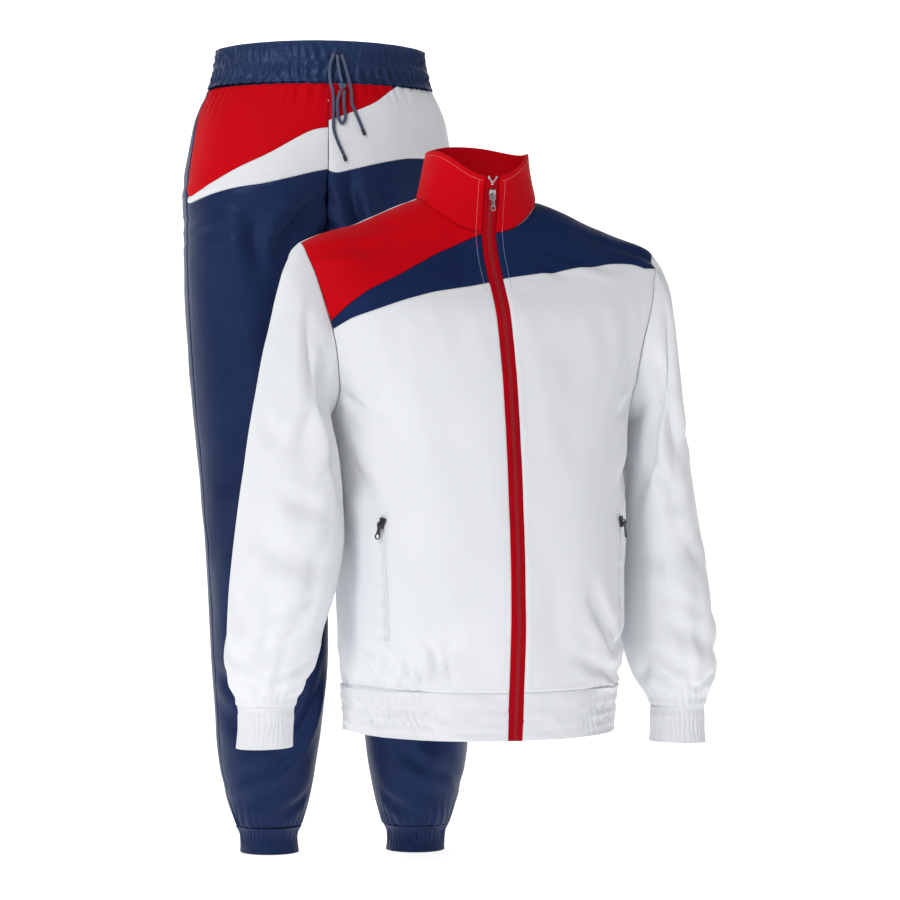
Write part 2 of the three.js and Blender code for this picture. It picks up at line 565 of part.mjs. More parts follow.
function makeFronts() {
  const across = NECK_STEPS;
  const rightTurns = frontTurns[-1];
  const leftTurns = frontTurns[1];
  const redEnd = armholePlace(redTurn, -1);
  const navyEndRight = armholePlace(navyTurnRight, -1);
  const navyEndLeft = armholePlace(navyTurnLeft, 1);
  const [redStart] = zipEdge(-1, [seamPlaces(RED_EDGE, 1)[0][1]]);
  const [navyStartRight] = zipEdge(-1, [seamPlaces(NAVY_EDGE_RIGHT, 1)[0][1]]);
  const [navyStartLeft] = zipEdge(1, [seamPlaces(NAVY_EDGE_LEFT, 1)[0][1]]);
  const redSeam = seamBetween(RED_EDGE, redStart, redEnd, across);
  const navySeamRight = seamBetween(NAVY_EDGE_RIGHT, navyStartRight, navyEndRight, across);
  const navySeamLeft = seamBetween(NAVY_EDGE_LEFT, navyStartLeft, navyEndLeft, across);
  const onArmhole = (side, rows) => (j, i) => (i === across && j <= rows ? side : 0);

  const redArm = places(rightTurns.slice(0, UPPER_STEPS + 1), -1).toReversed();
  const redRows = UPPER_STEPS + SHOULDER_STEPS;
  bodyPanel(
    "yoke_right_red", materials.red,
    patch(
      zipEdge(-1, between(redStart[1], NECK, redRows)), joined(redArm, shoulderSeam(-1)), redSeam, neckEdge(-1),
    ),
    CLOTH, onArmhole(-1, UPPER_STEPS),
  );
  const navyRows = 3;
  const tip = between(navyTurnRight, redTurn, navyRows).map((turn) => armholePlace(turn, -1));
  bodyPanel(
    "insert_right_navy", materials.navy,
    patch(zipEdge(-1, between(navyStartRight[1], redStart[1], navyRows)), tip, navySeamRight, redSeam),
    CLOTH, onArmhole(-1, navyRows),
  );
  const navyArm = joined(places(leftTurns.slice(0, UPPER_STEPS), 1).toReversed(), shoulderSeam(1));
  bodyPanel(
    "yoke_left_navy", materials.navy,
    patch(zipEdge(1, between(navyStartLeft[1], NECK, redRows - 1)), navyArm, navySeamLeft, neckEdge(1)),
    CLOTH, onArmhole(1, UPPER_STEPS - 1),
  );
  const fronts = [
    { name: "jacket_front_right", side: -1, start: navyStartRight, top: navySeamRight,
      arm: rightTurns.slice(UPPER_STEPS + 1).toReversed() },
    { name: "jacket_front_left", side: 1, start: navyStartLeft, top: navySeamLeft,
      arm: leftTurns.slice(UPPER_STEPS - 1).toReversed() },
  ];
  for (const { name, side, start, top, arm } of fronts) {
    const edge = joined(sideSeam(side), places(arm, side));
    const atZip = body.aroundAtX(ZIP_HALF * side, HEM_SEAM);
    const foot = between(atZip, 90 * side, across).map((a) => [a, HEM_SEAM]);
    const zip = zipEdge(side, between(HEM_SEAM, start[1], edge.length - 1));
    bodyPanel(
      name, materials.white, patch(zip, edge, foot, top), CLOTH,
      (j, i) => (i === across && j >= SIDE_ROWS ? side : 0),
    );
  }
}

function makeBack() {
  const edge = (side) => joined(
    sideSeam(side).map(([a, t]) => [side > 0 ? a : a + 360, t]),
    places(backTurns, side).map(([a, t]) => [side > 0 ? a : a + 360, t]),
    shoulderSeam(side).map(([a, t]) => [side > 0 ? a : a + 360, t]),
  );
  const level = (t, start) => between(start, 360 - start, BACK_ACROSS).map((a) => [a, t]);
  const onArmhole = (j) => j >= SIDE_ROWS && j <= SIDE_ROWS + BACK_STEPS;
  bodyPanel(
    "jacket_back", materials.white,
    patch(edge(1), edge(-1), level(HEM_SEAM, 90), level(NECK, SHOULDER_SEAM)), CLOTH,
    (j, i) => (onArmhole(j) ? { 0: 1, [BACK_ACROSS]: -1 }[i] || 0 : 0),
  );
}

function makeCollar() {
  const behind = between(SHOULDER_SEAM, 360 - SHOULDER_SEAM, BACK_ACROSS);
  const arounds = joined(neckAround(1), behind, neckAround(-1).toReversed().map((a) => a + 360));
  const rows = [0, 0.5, 1, 1.5, 2];
  const last = arounds.length - 1;
  const aroundOf = (i, t) => {
    const edge = collar.aroundAtX(ZIP_HALF, t);
    return i === 0 ? edge : i === last ? 360 - edge : arounds[i];
  };
  const face = (lift) => rows.map((t) =>
    arounds.map((_, i) => {
      const around = aroundOf(i, t);
      return collar.plain(around, t).addScaledVector(collar.normal(around, t), lift);
    }),
  );
  jacket.add(wallMesh("collar", materials.red, face(0), face(-DOUBLED)));
}

// Gathers as alternate ridges and troughs: -1 and 1 at neighbouring points, fading to the flat stretches.
function hemAngles() {
  const { waves, from, to } = GATHERS.hem;
  const start = body.aroundAtX(ZIP_HALF, HEM_SEAM);
  const ridges = between(from, to, waves * 2);
  const right = ridges.map((a) => 360 - a).toReversed();
  const plainBack = between(to, 360 - to, 6);
  const angles = joined(between(start, from, 5), ridges, plainBack, right, between(360 - from, 360 - start, 5));
  const wave = angles.map((a) => {
    const k = ridges.indexOf(a) >= 0 ? ridges.indexOf(a) : right.indexOf(a);
    return k > 0 && k < waves * 2 && k % 2 ? 1 : 0;
  });
  return { angles, wave };
}

function makeHemBand() {
  const { angles, wave } = hemAngles();
  const rows = [0, 0.5, 1];
  const heightOf = (i) => wave[i] * GATHERS.hem.height;
  const faces = (lift) => rows.map((t) =>
    angles.map((a, i) => body.plain(a, t).addScaledVector(body.normal(a, t), lift - heightOf(i))),
  );
  jacket.add(wallMesh("hem_band", materials.white, faces(0), faces(-DOUBLED)));
}

// Point of a tilted sleeve ring at angle turn, 0 on the outside and 90 in front.
function armRing(row, turn, side) {
  const c = signedPower(Math.cos(radians(turn)), row.round);
  const s = signedPower(Math.sin(radians(turn)), row.round);
  const x = (row.outer[0] + row.inner[0]) / 2 + ((row.outer[0] - row.inner[0]) / 2) * c;
  const y = (row.front + row.back) / 2 - ((row.back - row.front) / 2) * s;
  const z = (row.outer[1] + row.inner[1]) / 2 + ((row.outer[1] - row.inner[1]) / 2) * c;
  return new THREE.Vector3(x * side, y, z);
}

// Point of a sleeve: t is 0 at the armhole seam and counts the rings down.
function sleevePlain(turn, t, side) {
  const seam = body.plain(...armholePlace(turn, side));
  seam.x += ARMHOLE.clear * side;
  const points = [seam, ...ARMS[side].sleeve.map((row) => armRing(row, turn, side))];
  return new THREE.Vector3(...["x", "y", "z"].map((axis) => through(points.map((p) => p[axis]), t)));
}

function sleeveWall(side) {
  const turns = joined(frontTurns[side], backTurns).slice(0, -1);
  const rows = [0, 0.5, 1, 2, 3, 4, 5, 5.5, 6, 6.5, 7, 8, 9, 9.5, 10];
  const surface = (turn, t) => sleevePlain(turn, t, side);
  const outer = [];
  const inner = [];
  for (const t of rows) {
    const at = Math.min(Math.max(t, 0.01), ARM_ROWS - 0.01);
    const points = turns.map((turn) => {
      const base = surface(turn, t);
      const normal = normalOf(surface, turn, at, 1, 0.01).multiplyScalar(side);
      const inward = t === 0 ? armholeMiddle(side).sub(base).normalize() : normal.negate();
      const depth = t === 0 ? 0 : foldDepth(SLEEVE_FOLDS, turn, base.z, 62);
      return { base: base.addScaledVector(inward, depth), inward };
    });
    outer.push(points.map((p) => p.base));
    inner.push(points.map((p) => p.base.clone().addScaledVector(p.inward, CLOTH)));
  }
  jacket.add(wallMesh("sleeve_" + ARMS[side].word, materials.white, outer, inner, true));
}

// Tube of gathered elastic through a few rings; ringPoint gives a point at a turn, a row and an outward move.
function gatheredTube(group, name, material, rows, gathers, ringPoint) {
  const turns = between(0, 360, gathers.waves * 2).slice(0, -1);
  const faces = (lift) => rows.map((row) =>
    turns.map((turn, i) => ringPoint(row, turn, lift - (i % 2) * gathers.height)),
  );
  group.add(wallMesh(name, material, faces(0), faces(-DOUBLED), true));
}

function grown(row, move) {
  const tilt = Math.hypot(row.outer[0] - row.inner[0], row.outer[1] - row.inner[1]);
  const shift = (axis) => ((row.outer[axis] - row.inner[axis]) / tilt) * move;
  return {
    ...row,
    outer: [row.outer[0] + shift(0), row.outer[1] + shift(1)],
    inner: [row.inner[0] - shift(0), row.inner[1] - shift(1)],
    front: row.front - move,
    back: row.back + move,
  };
}

function makeSleeves() {
  for (const side of [-1, 1]) {
    const { word, wrist } = ARMS[side];
    sleeveWall(side);
    gatheredTube(jacket, "cuff_" + word, materials.white, wrist, GATHERS.wrist, (row, turn, move) =>
      armRing(grown(row, move), turn, side),
    );
  }
}

// Point on the front zip's line: s runs 0 to 1 up the hem band, on to NECK up the body, then up the collar.
function zipPoint(x, s, lift) {
  const onCollar = s > NECK;
  const surface = onCollar ? collar : body;
  const t = onCollar ? s - NECK : s;
  const around = surface.aroundAtX(x, t);
  return surface.plain(around, t).addScaledVector(surface.normal(around, t), lift);
}

const ZIP_SLIDER_ROW = NECK + 1.42; // place of the zip's slider on the collar

function makeZip() {
  const rows = [...between(0, NECK, 22), ...[0.3, 0.7, 1.1, 1.5, 1.97].map((t) => NECK + t)];
  const tape = ZIP_HALF - SEAM_GAP / 2;
  const xs = [-tape, 0, tape];
  const face = (lift) => rows.map((s) => xs.map((x) => zipPoint(x, s, lift)));
  jacket.add(wallMesh("zip_tape", materials.tape, face(0), face(-CLOTH)));
}

// Flat pull tab hanging from its crossbar, which lies at the group's origin: a window for the slider's eye
// above, and a long ring hole below.
function pullTab(name, sizes) {
  const half = sizes.pullWidth / 2;
  const foot = -sizes.pullLength;
  const outline = new THREE.Shape();
  outline.moveTo(-half, PULL.crossbar);
  outline.lineTo(-half, foot + half);
  outline.absarc(0, foot + half, half, Math.PI, 2 * Math.PI, false);
  outline.lineTo(half, PULL.crossbar);
  outline.closePath();
  const windowHalf = LUG.width / 2 + PULL.play;
  const windowFoot = -LUG.outer - PULL.headroom;
  outline.holes.push(new THREE.Path([
    new THREE.Vector2(-windowHalf, -PULL.crossbar), new THREE.Vector2(windowHalf, -PULL.crossbar),
    new THREE.Vector2(windowHalf, windowFoot), new THREE.Vector2(-windowHalf, windowFoot),
  ]));
  const ring = new THREE.Path();
  const inner = half - PULL.rim;
  ring.absarc(0, foot + half, inner, Math.PI, 2 * Math.PI, false);
  ring.absarc(0, foot + half + PULL.ring, inner, 0, Math.PI, false);
  ring.closePath();
  outline.holes.push(ring);
  const geometry = new THREE.ExtrudeGeometry(outline, { ...METAL_CUT, depth: PULL_THICK });
  geometry.translate(0, 0, -PULL_THICK / 2).rotateX(Math.PI / 2);
  const mesh = new THREE.Mesh(geometry, materials.metal);
  mesh.name = name;
  return mesh;
}

// Slider block with an eye in front. Its own frame has Y up the zip, Z out of the cloth and its origin below it.
function sliderBlock(name, material, sizes) {
  const profile = new THREE.Shape();
  const face = sizes.depth;
  const axis = face + sizes.axisOut;
  const top = sizes.height / 2;
  profile.moveTo(0, -top);
  profile.lineTo(face, -top);
  profile.lineTo(face, -LUG.outer);
  profile.lineTo(axis, -LUG.outer);
  profile.absarc(axis, 0, LUG.outer, -Math.PI / 2, Math.PI / 2, false);
  profile.lineTo(face, LUG.outer);
  profile.lineTo(face, top);
  profile.lineTo(0, top);
  profile.closePath();
  const hole = new THREE.Path();
  hole.absarc(axis, 0, LUG.hole, 0, 2 * Math.PI, false);
  profile.holes.push(hole);
  const middle = new THREE.ExtrudeGeometry(profile, { ...METAL_CUT, depth: LUG.width });
  middle.translate(0, 0, -LUG.width / 2).rotateY(-Math.PI / 2);
  const block = new THREE.BoxGeometry(sizes.width, sizes.height, face).translate(0, 0, face / 2);
  const mesh = new THREE.Mesh(joinedGeometry(block, middle), material);
  mesh.name = name;
  return mesh;
}

const { Manifold, Mesh: SolidMesh } = await solids();

async function solids() {
  const wasm = await Module();
  wasm.setup();
  return wasm;
}

function solidOf(geometry) {
  const plain = new THREE.BufferGeometry();
  const source = geometry.index ? geometry.toNonIndexed() : geometry;
  plain.setAttribute("position", source.getAttribute("position"));
  const merged = mergeVertices(plain, 1e-4);
  const vertProperties = merged.getAttribute("position").array;
  const triVerts = new Uint32Array(merged.index.array);
  return new Manifold(new SolidMesh({ numProp: 3, vertProperties, triVerts }));
}

function joinedGeometry(first, second) {
  const mesh = solidOf(first).add(solidOf(second)).getMesh();
  const geometry = new THREE.BufferGeometry();
  geometry.setAttribute("position", new THREE.BufferAttribute(mesh.vertProperties, 3));
  geometry.setIndex(new THREE.BufferAttribute(mesh.triVerts, 1));
  geometry.computeVertexNormals();
  return geometry;
}

// Slider lying on the cloth at a point. Its pull tab hangs from its eye: straight down, or in line with a slider
// that leans.
function addSlider(words, at, up, out, sizes, material, leans = false) {
  const block = sliderBlock(words.slider, material, sizes);
  const across = up.clone().cross(out).normalize();
  block.quaternion.setFromRotationMatrix(new THREE.Matrix4().makeBasis(across, up, out));
  block.position.copy(at).addScaledVector(out, LIFT);
  jacket.add(block);
  const pull = pullTab(words.pull, sizes);
  pull.position.copy(at).addScaledVector(out, LIFT + sizes.depth + sizes.axisOut);
  const inLine = new THREE.Matrix4().makeBasis(across, out.clone().negate(), up);
  if (leans) pull.quaternion.setFromRotationMatrix(inLine);
  else pull.rotation.z = Math.atan2(out.x, -out.y);
  jacket.add(pull);
}

function makeFrontSlider() {
  const at = zipPoint(0, ZIP_SLIDER_ROW, 0);
  const up = zipPoint(0, ZIP_SLIDER_ROW + 0.05, 0).sub(zipPoint(0, ZIP_SLIDER_ROW - 0.05, 0)).normalize();
  const out = new THREE.Vector3(-1, 0, 0).cross(up).negate();
  addSlider({ slider: "zip_slider", pull: "zip_pull" }, at, up, out, FRONT_SLIDER, materials.metal);
}

// Zip strip of a side pocket, laid on the front, with its slider and pull at the top.
function makePocket(word, side) {
  const rows = between(POCKET.foot, POCKET.top, 8);
  const wide = THREE.MathUtils.radToDeg(POCKET.width / 2 / BODY_RADIUS);
  const arounds = [-wide, 0, wide].map((a) => (POCKET.around + a) * side);
  const point = (a, z, lift) => {
    const t = body.rowAtZ(z, () => a);
    return bodyPoint(a, t).addScaledVector(body.normal(a, t), lift);
  };
  const face = (lift) => rows.map((z) => arounds.map((a) => point(a, z, lift)));
  const strip = wallMesh("pocket_" + word + "_zip", materials.white, face(LIFT + POCKET.thick), face(LIFT));
  jacket.add(strip);
  const around = POCKET.around * side;
  const onStrip = (z) => point(around, z, LIFT + POCKET.thick);
  const line = onStrip(POCKET.slider + 4).sub(onStrip(POCKET.slider - 4)).normalize();
  const across = point(around + 1, POCKET.slider, 0).sub(point(around - 1, POCKET.slider, 0));
  const out = across.cross(line).normalize();
  const up = line.applyAxisAngle(out, -radians(POCKET.lean) * -side);
  const words = { slider: "pocket_" + word + "_slider", pull: "pocket_" + word + "_pull" };
  addSlider(words, onStrip(POCKET.slider), up, out, POCKET_SLIDER, materials.dark, true);
}

makeFronts();
makeBack();
makeCollar();
makeHemBand();
makeSleeves();
makeZip();
makeFrontSlider();
makePocket("right", -1);
makePocket("left", 1);

// Trousers.
const legColumns = columnsOf(LEG);

function legDrift(z) {
  const share = THREE.MathUtils.clamp((z - LEG_DRIFT.from) / (LEG_DRIFT.to - LEG_DRIFT.from), 0, 1);
  return LEG_DRIFT.x * share * share * (3 - 2 * share);
}

const edgeTurn = (t) => {
  const share = Math.min(1, legColumns.x(t) / legColumns.out(t));
  return t >= CROTCH ? 180 : THREE.MathUtils.radToDeg(Math.acos(-share));
};

// Point of one leg's half: turn 0 faces outwards, -90 to the front and 90 to the back.
function legPlain(turn, t, side) {
  const c = Math.cos(radians(turn));
  const s = Math.sin(radians(turn));
  const reach = s < 0 ? legColumns.front(t) : legColumns.back(t);
  const q = MIDDLE_GAP + legColumns.x(t) + legColumns.out(t) * c;
  const z = legColumns.z(t);
  return new THREE.Vector3(q * side + legDrift(z), reach * Math.abs(s), z);
}

function legNormal(turn, t, side) {
  const at = Math.min(Math.max(t, 0.01), ANKLE_SEAM - 0.01);
  return normalOf((a, b) => legPlain(a, b, side), turn, at, 0.5, 0.01).multiplyScalar(-side);
}

function legPoint(turn, t, side) {
  const base = legPlain(turn, t, side);
  const depth = foldDepth(LEG_FOLDS, turn, base.z, 85);
  return base.addScaledVector(legNormal(turn, t, side), -depth);
}

function legRowAt(z) {
  let [a, b] = [0, ANKLE_SEAM];
  for (let i = 0; i < 40; i++) {
    const t = (a + b) / 2;
    if (legColumns.z(t) > z) a = t;
    else b = t;
  }
  return (a + b) / 2;
}

// Place on a leg's front with a given x and z; the share says how far from side line to middle edge.
function legPlace(x, z) {
  const t = legRowAt(z);
  const c = (Math.abs(x) - MIDDLE_GAP - legColumns.x(t)) / legColumns.out(t);
  const turn = THREE.MathUtils.radToDeg(Math.acos(THREE.MathUtils.clamp(c, -1, 1)));
  return [Math.max(-edgeTurn(t), -turn), t];
}

const FRONT_COLUMNS = 8;
const BEYOND_RED = 3; // further columns of the left front, where white cloth reaches the waistband
const BACK_COLUMNS = 9;
const HIP_ROWS = 3;

function legSeam(seam, count) {
  const xs = seam.map((p) => p.x);
  const zs = seam.map((p) => p.z);
  const list = range(count).map((f) =>
    legPlace(through(xs, f * (seam.length - 1)), through(zs, f * (seam.length - 1))),
  );
  list[0] = [-edgeTurn(list[0][1]), list[0][1]];
  return list;
}

function sideTurn(t, side) {
  const share = THREE.MathUtils.clamp((t - WAIST_SEAM) / (SIDE_SEAM.hip - WAIST_SEAM), 0, 1);
  return lerp(SIDE_SEAM.waist, side < 0 ? SIDE_SEAM.right : SIDE_SEAM.left, share);
}

const onMiddle = (t, sign = -1) => [edgeTurn(t) * sign, t];

function legPanel(name, material, side, grid) {
  const outer = grid.map((row) => row.map(([turn, t]) => legPoint(turn, t, side)));
  const inner = grid.map((row, j) =>
    row.map(([turn, t], i) => outer[j][i].clone().addScaledVector(legNormal(turn, t, side), -CLOTH)),
  );
  trousers.add(wallMesh(name, material, outer, inner));
}

// Rows of the legs, closer together round the crotch and at the folds above the ankle.
const LEG_ROWS = [3, 4, 5, 6, 6.5, 7, 7.5, 8, 8.5, 9, 9.5, 10, 11, 11.5, 12, 13, 14, 15, 15.5, 16];
const CLOSEST_ROWS = 0.25;
const legRows = (from) => [from, ...LEG_ROWS.filter((t) => t > from + CLOSEST_ROWS)];

function makeLegs() {
  const sides = [
    { word: "right", side: -1, red: HIP_RED_RIGHT, white: HIP_WHITE_RIGHT },
    { word: "left", side: 1, red: HIP_RED_LEFT, white: HIP_WHITE_LEFT },
  ];
  for (const { word, side, red, white } of sides) {
    const rises = side < 0;
    const columns = rises ? FRONT_COLUMNS : FRONT_COLUMNS + BEYOND_RED;
    const redSeam = legSeam(red, FRONT_COLUMNS);
    const whiteSeam = legSeam(white, columns);
    const onSideSeam = (t) => [sideTurn(t, side), t];
    const whiteEnd = onSideSeam(whiteSeam.at(-1)[1]);
    whiteSeam[columns] = whiteEnd;
    if (rises) redSeam[FRONT_COLUMNS] = onSideSeam(redSeam.at(-1)[1]);
    else redSeam[FRONT_COLUMNS] = [redSeam.at(-1)[0], WAIST_SEAM];
    const redEnd = redSeam[FRONT_COLUMNS];
    const waistTo = (turn) =>
      between(-edgeTurn(WAIST_SEAM), turn, FRONT_COLUMNS).map((a) => [a, WAIST_SEAM]);
    const redStart = redSeam[0][1];
    const whiteStart = whiteSeam[0][1];
    const redMiddle = between(redStart, WAIST_SEAM, HIP_ROWS).map((t) => onMiddle(t));
    const whiteMiddle = between(whiteStart, redStart, HIP_ROWS).map((t) => onMiddle(t));
    const sideTop = between(whiteEnd[1], rises ? redEnd[1] : WAIST_SEAM, HIP_ROWS).map(onSideSeam);
    if (rises) {
      const sideRed = between(redEnd[1], WAIST_SEAM, HIP_ROWS).map(onSideSeam);
      legPanel("hip_" + word + "_red", materials.red, side,
        patch(redMiddle, sideRed, redSeam, waistTo(sideTurn(WAIST_SEAM, side))));
      legPanel("hip_" + word + "_white", materials.white, side,
        patch(whiteMiddle, sideTop, whiteSeam, redSeam));
    } else {
      makeLeftHip(side, redSeam, whiteSeam, redMiddle, whiteMiddle, sideTop);
    }
    const rows = legRows(Math.max(whiteStart, whiteEnd[1], LEG_ROWS[3])).toReversed();
    const spread = (from) => rows.map((t) => {
      const share = (ANKLE_SEAM - t) / (ANKLE_SEAM - rows.at(-1));
      return ANKLE_SEAM + (from - ANKLE_SEAM) * share;
    });
    const footTurn = sideTurn(ANKLE_SEAM, side);
    const foot = between(-180, footTurn, columns).map((a) => [a, ANKLE_SEAM]);
    legPanel("leg_front_" + word, materials.legs, side, patch(
      spread(whiteStart).map((t) => onMiddle(t)), spread(whiteEnd[1]).map(onSideSeam), foot, whiteSeam));
    const full = legRows(WAIST_SEAM).toReversed();
    const backFoot = between(footTurn, 180, BACK_COLUMNS).map((a) => [a, ANKLE_SEAM]);
    const backTop = between(sideTurn(WAIST_SEAM, side), edgeTurn(WAIST_SEAM), BACK_COLUMNS)
      .map((a) => [a, WAIST_SEAM]);
    legPanel("leg_back_" + word, materials.legs, side, patch(
      full.map(onSideSeam), full.map((t) => onMiddle(t, 1)), backFoot, backTop));
  }
}

// The left hip's red piece is a corner: its seam climbs from the middle to the waistband.
function makeLeftHip(side, redSeam, whiteSeam, redMiddle, whiteMiddle, sideTop) {
  const corner = redSeam.at(-1);
  const top = between(-edgeTurn(WAIST_SEAM), corner[0], FRONT_COLUMNS).map((a) => [a, WAIST_SEAM]);
  const blunt = redSeam.map(([turn, t], i) => (i === FRONT_COLUMNS ? [turn, t + 0.06] : [turn, t]));
  const end = between(blunt.at(-1)[1], WAIST_SEAM, HIP_ROWS).map((t) => [corner[0], t]);
  legPanel("hip_left_red", materials.red, side, patch(redMiddle, end, blunt, top));
  const beyond = between(corner[0], sideTurn(WAIST_SEAM, side), BEYOND_RED).slice(1)
    .map((a) => [a, WAIST_SEAM]);
  legPanel("hip_left_white", materials.white, side,
    patch(whiteMiddle, sideTop, whiteSeam, [...blunt, ...beyond]));
}

function makeWaistband() {
  const rows = [2, 1.5, 1, 0.5, 0];
  const channel = [0, 0, 1, 0, 0]; // the two rows of gathers meet at a sunk seam
  const { waves, height } = GATHERS.waist;
  const turns = between(0, 360, waves * 2).slice(0, -1);
  const ringPoint = (turn, t, move) => {
    const c = Math.cos(radians(turn));
    const s = Math.sin(radians(turn));
    const reach = (s < 0 ? -legColumns.front(t) : legColumns.back(t)) + move;
    const z = legColumns.z(t) + WAIST_RISE * s * s * (1 - t / WAIST_SEAM);
    return new THREE.Vector3((legColumns.out(t) + move) * c, reach * s, z);
  };
  const faces = (lift) => rows.map((t, j) =>
    turns.map((turn, i) => ringPoint(turn, t, lift - (channel[j] ? height * 1.2 : (i % 2) * height))),
  );
  trousers.add(wallMesh("waistband", materials.waist, faces(0), faces(-DOUBLED), true));
}

function makeAnkles() {
  for (const [word, side] of [["right", -1], ["left", 1]]) {
    gatheredTube(trousers, "ankle_" + word, materials.legs, ANKLE, GATHERS.ankle, (row, turn, move) => {
      const c = Math.cos(radians(turn));
      const s = Math.sin(radians(turn));
      const reach = (s < 0 ? -row.front : row.back) + move;
      return new THREE.Vector3((row.x + (row.out + move) * c) * side + legDrift(row.z), reach * s, row.z);
    });
  }
}

// Point in front of the waistband or hip: x and z as seen from the front, out from the cloth.
function frontOfTrousers([x, z, out]) {
  const t = legRowAt(z);
  const share = (Math.abs(x) - MIDDLE_GAP - legColumns.x(t)) / legColumns.out(t);
  return new THREE.Vector3(x, legColumns.front(t) * Math.sqrt(1 - share * share) - out, z);
}

function makeDrawstring() {
  const corners = range(CORD_SIDES).slice(1).map((k) =>
    new THREE.Vector2(CORD_RADIUS, 0).rotateAround(new THREE.Vector2(), k * 2 * Math.PI),
  );
  const round = new THREE.Shape(corners);
  for (const { name, steps, route } of STRANDS) {
    const path = new THREE.CatmullRomCurve3(route.map(frontOfTrousers));
    const mesh = new THREE.Mesh(new THREE.ExtrudeGeometry(round, { steps, extrudePath: path }), materials.cord);
    mesh.name = name;
    trousers.add(mesh);
  }
  const knot = new THREE.Mesh(new THREE.SphereGeometry(1, 10, 6).scale(...KNOT.radii), materials.cord);
  knot.name = "cord_knot";
  knot.position.copy(frontOfTrousers([KNOT.x, KNOT.z, KNOT.out]));
  trousers.add(knot);
  for (const { name, from, to } of TIPS) {
    const [a, b] = [frontOfTrousers(from), frontOfTrousers(to)];
    const bar = new THREE.CylinderGeometry(TIP_RADIUS, TIP_RADIUS, a.distanceTo(b), CORD_SIDES);
    const tip = new THREE.Mesh(bar, materials.cord);
    tip.name = name;
    tip.position.copy(a).lerp(b, 0.5);
    tip.quaternion.setFromUnitVectors(new THREE.Vector3(0, 1, 0), b.sub(a).normalize());
    trousers.add(tip);
  }
}

makeLegs();
makeWaistband();
makeAnkles();
makeDrawstring();

const tracksuit = new THREE.Group();
tracksuit.name = "tracksuit";
tracksuit.add(jacket, trousers);

export default tracksuit;
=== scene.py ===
"""Looks of a two-piece tracksuit: a zipped jacket, and a pair of trousers standing behind it.

Lengths in the tables are millimetres in the frame of the solids; meshes are made in metres.
"""

import itertools
import logging
import math
from dataclasses import dataclass, field
from enum import Enum
from typing import Callable, Sequence

import bmesh
import bpy
import numpy as np
from mathutils import Matrix, Vector

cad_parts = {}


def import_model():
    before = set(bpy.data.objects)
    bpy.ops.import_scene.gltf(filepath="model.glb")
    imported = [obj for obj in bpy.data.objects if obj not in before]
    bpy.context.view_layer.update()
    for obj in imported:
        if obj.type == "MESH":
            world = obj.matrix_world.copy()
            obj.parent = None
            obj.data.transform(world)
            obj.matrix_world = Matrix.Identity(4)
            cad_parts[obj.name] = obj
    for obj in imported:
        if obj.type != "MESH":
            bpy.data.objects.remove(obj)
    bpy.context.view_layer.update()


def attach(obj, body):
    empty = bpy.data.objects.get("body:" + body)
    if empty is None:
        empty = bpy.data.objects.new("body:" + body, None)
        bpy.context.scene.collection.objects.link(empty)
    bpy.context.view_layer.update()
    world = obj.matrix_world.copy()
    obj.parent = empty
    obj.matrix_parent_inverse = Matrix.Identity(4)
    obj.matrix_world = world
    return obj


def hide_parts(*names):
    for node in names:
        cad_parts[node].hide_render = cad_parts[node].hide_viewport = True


log = logging.getLogger("tracksuit")
Array = np.ndarray
Surface = Callable[[Array], tuple[Array, Array]]

MM = 0.001
CLOTH = 1.6  # thickness of one cloth panel
DOUBLED = 2.4  # thickness of collar, cuffs and bands
ZIP_HALF = 9.0  # half width of the front zip's tape

# Body of the jacket from the hem up: front y, z; side x, y, z; back y, z; fullness of the ring.
BODY = np.array([
    [-147, -644, 166, 4, -640, 112, -640, 0.85],
    [-152, -587, 170, 4, -583, 120, -583, 0.85],
    [-158, -510, 173, 3, -508, 126, -508, 0.85],
    [-157, -431, 176, 3, -431, 126, -431, 0.85],
    [-147, -330, 178, 2, -332, 123, -332, 0.85],
    [-134, -250, 185, 2, -257, 121, -250, 0.85],
    [-119, -186, 212, 2, -192, 119, -180, 0.92],
    [-104, -141, 240, 4, -128, 110, -112, 1.0],
    [-84, -110, 243, 6, -84, 98, -70, 1.0],
    [-70, -92, 221, 8, -54, 88, -42, 1.0],
    [-53, -66, 148, 10, -26, 74, -8, 0.95],
    [-45, -40, 74, 8, 2, 62, 20, 0.9],
])
HEM_SEAM, ARMPIT, SHOULDER, NECK = 1, 5, 9, 11
SHOULDER_SEAM = 96  # degrees at the neck
COLLAR = np.array([
    [-45, -40, 74, 8, 2, 62, 20, 0.9],
    [-51, -12, 68, 7, 27, 64, 42, 0.9],
    [-60, 26, 62, 4, 60, 66, 73, 0.9],
])
# Sleeve rings from the cap down: outer x, z; inner x, z; front y; back y; fullness.
SLEEVE_RIGHT = np.array([
    [245, -92, 193, -272, -72, 62, 1.05],
    [261, -145, 190, -294, -86, 58, 1.05],
    [275, -200, 185, -322, -96, 50, 1.0],
    [292, -282, 183, -365, -104, 38, 0.95],
    [305, -360, 183, -412, -105, 31, 0.92],
    [313, -438, 192, -466, -101, 29, 0.92],
    [317, -508, 204, -516, -87, 36, 0.92],
    [318, -540, 206, -542, -76, 39, 0.95],
    [314, -575, 217, -574, -62, 36, 0.95],
    [302, -606, 232, -606, -44, 31, 1],
])
SLEEVE_LEFT = np.array([
    [240, -92, 194, -272, -66, 68, 1.05],
    [247, -145, 191, -294, -72, 72, 1.05],
    [253, -200, 189, -322, -74, 72, 1.0],
    [263, -284, 187, -366, -72, 70, 0.95],
    [276, -363, 187, -414, -69, 67, 0.92],
    [290, -442, 185, -470, -67, 63, 0.92],
    [302, -515, 186, -523, -65, 58, 0.92],
    [306, -549, 190, -551, -62, 53, 0.95],
    [303, -585, 204, -584, -54, 44, 0.95],
    [292, -617, 225, -617, -42, 32, 1],
])
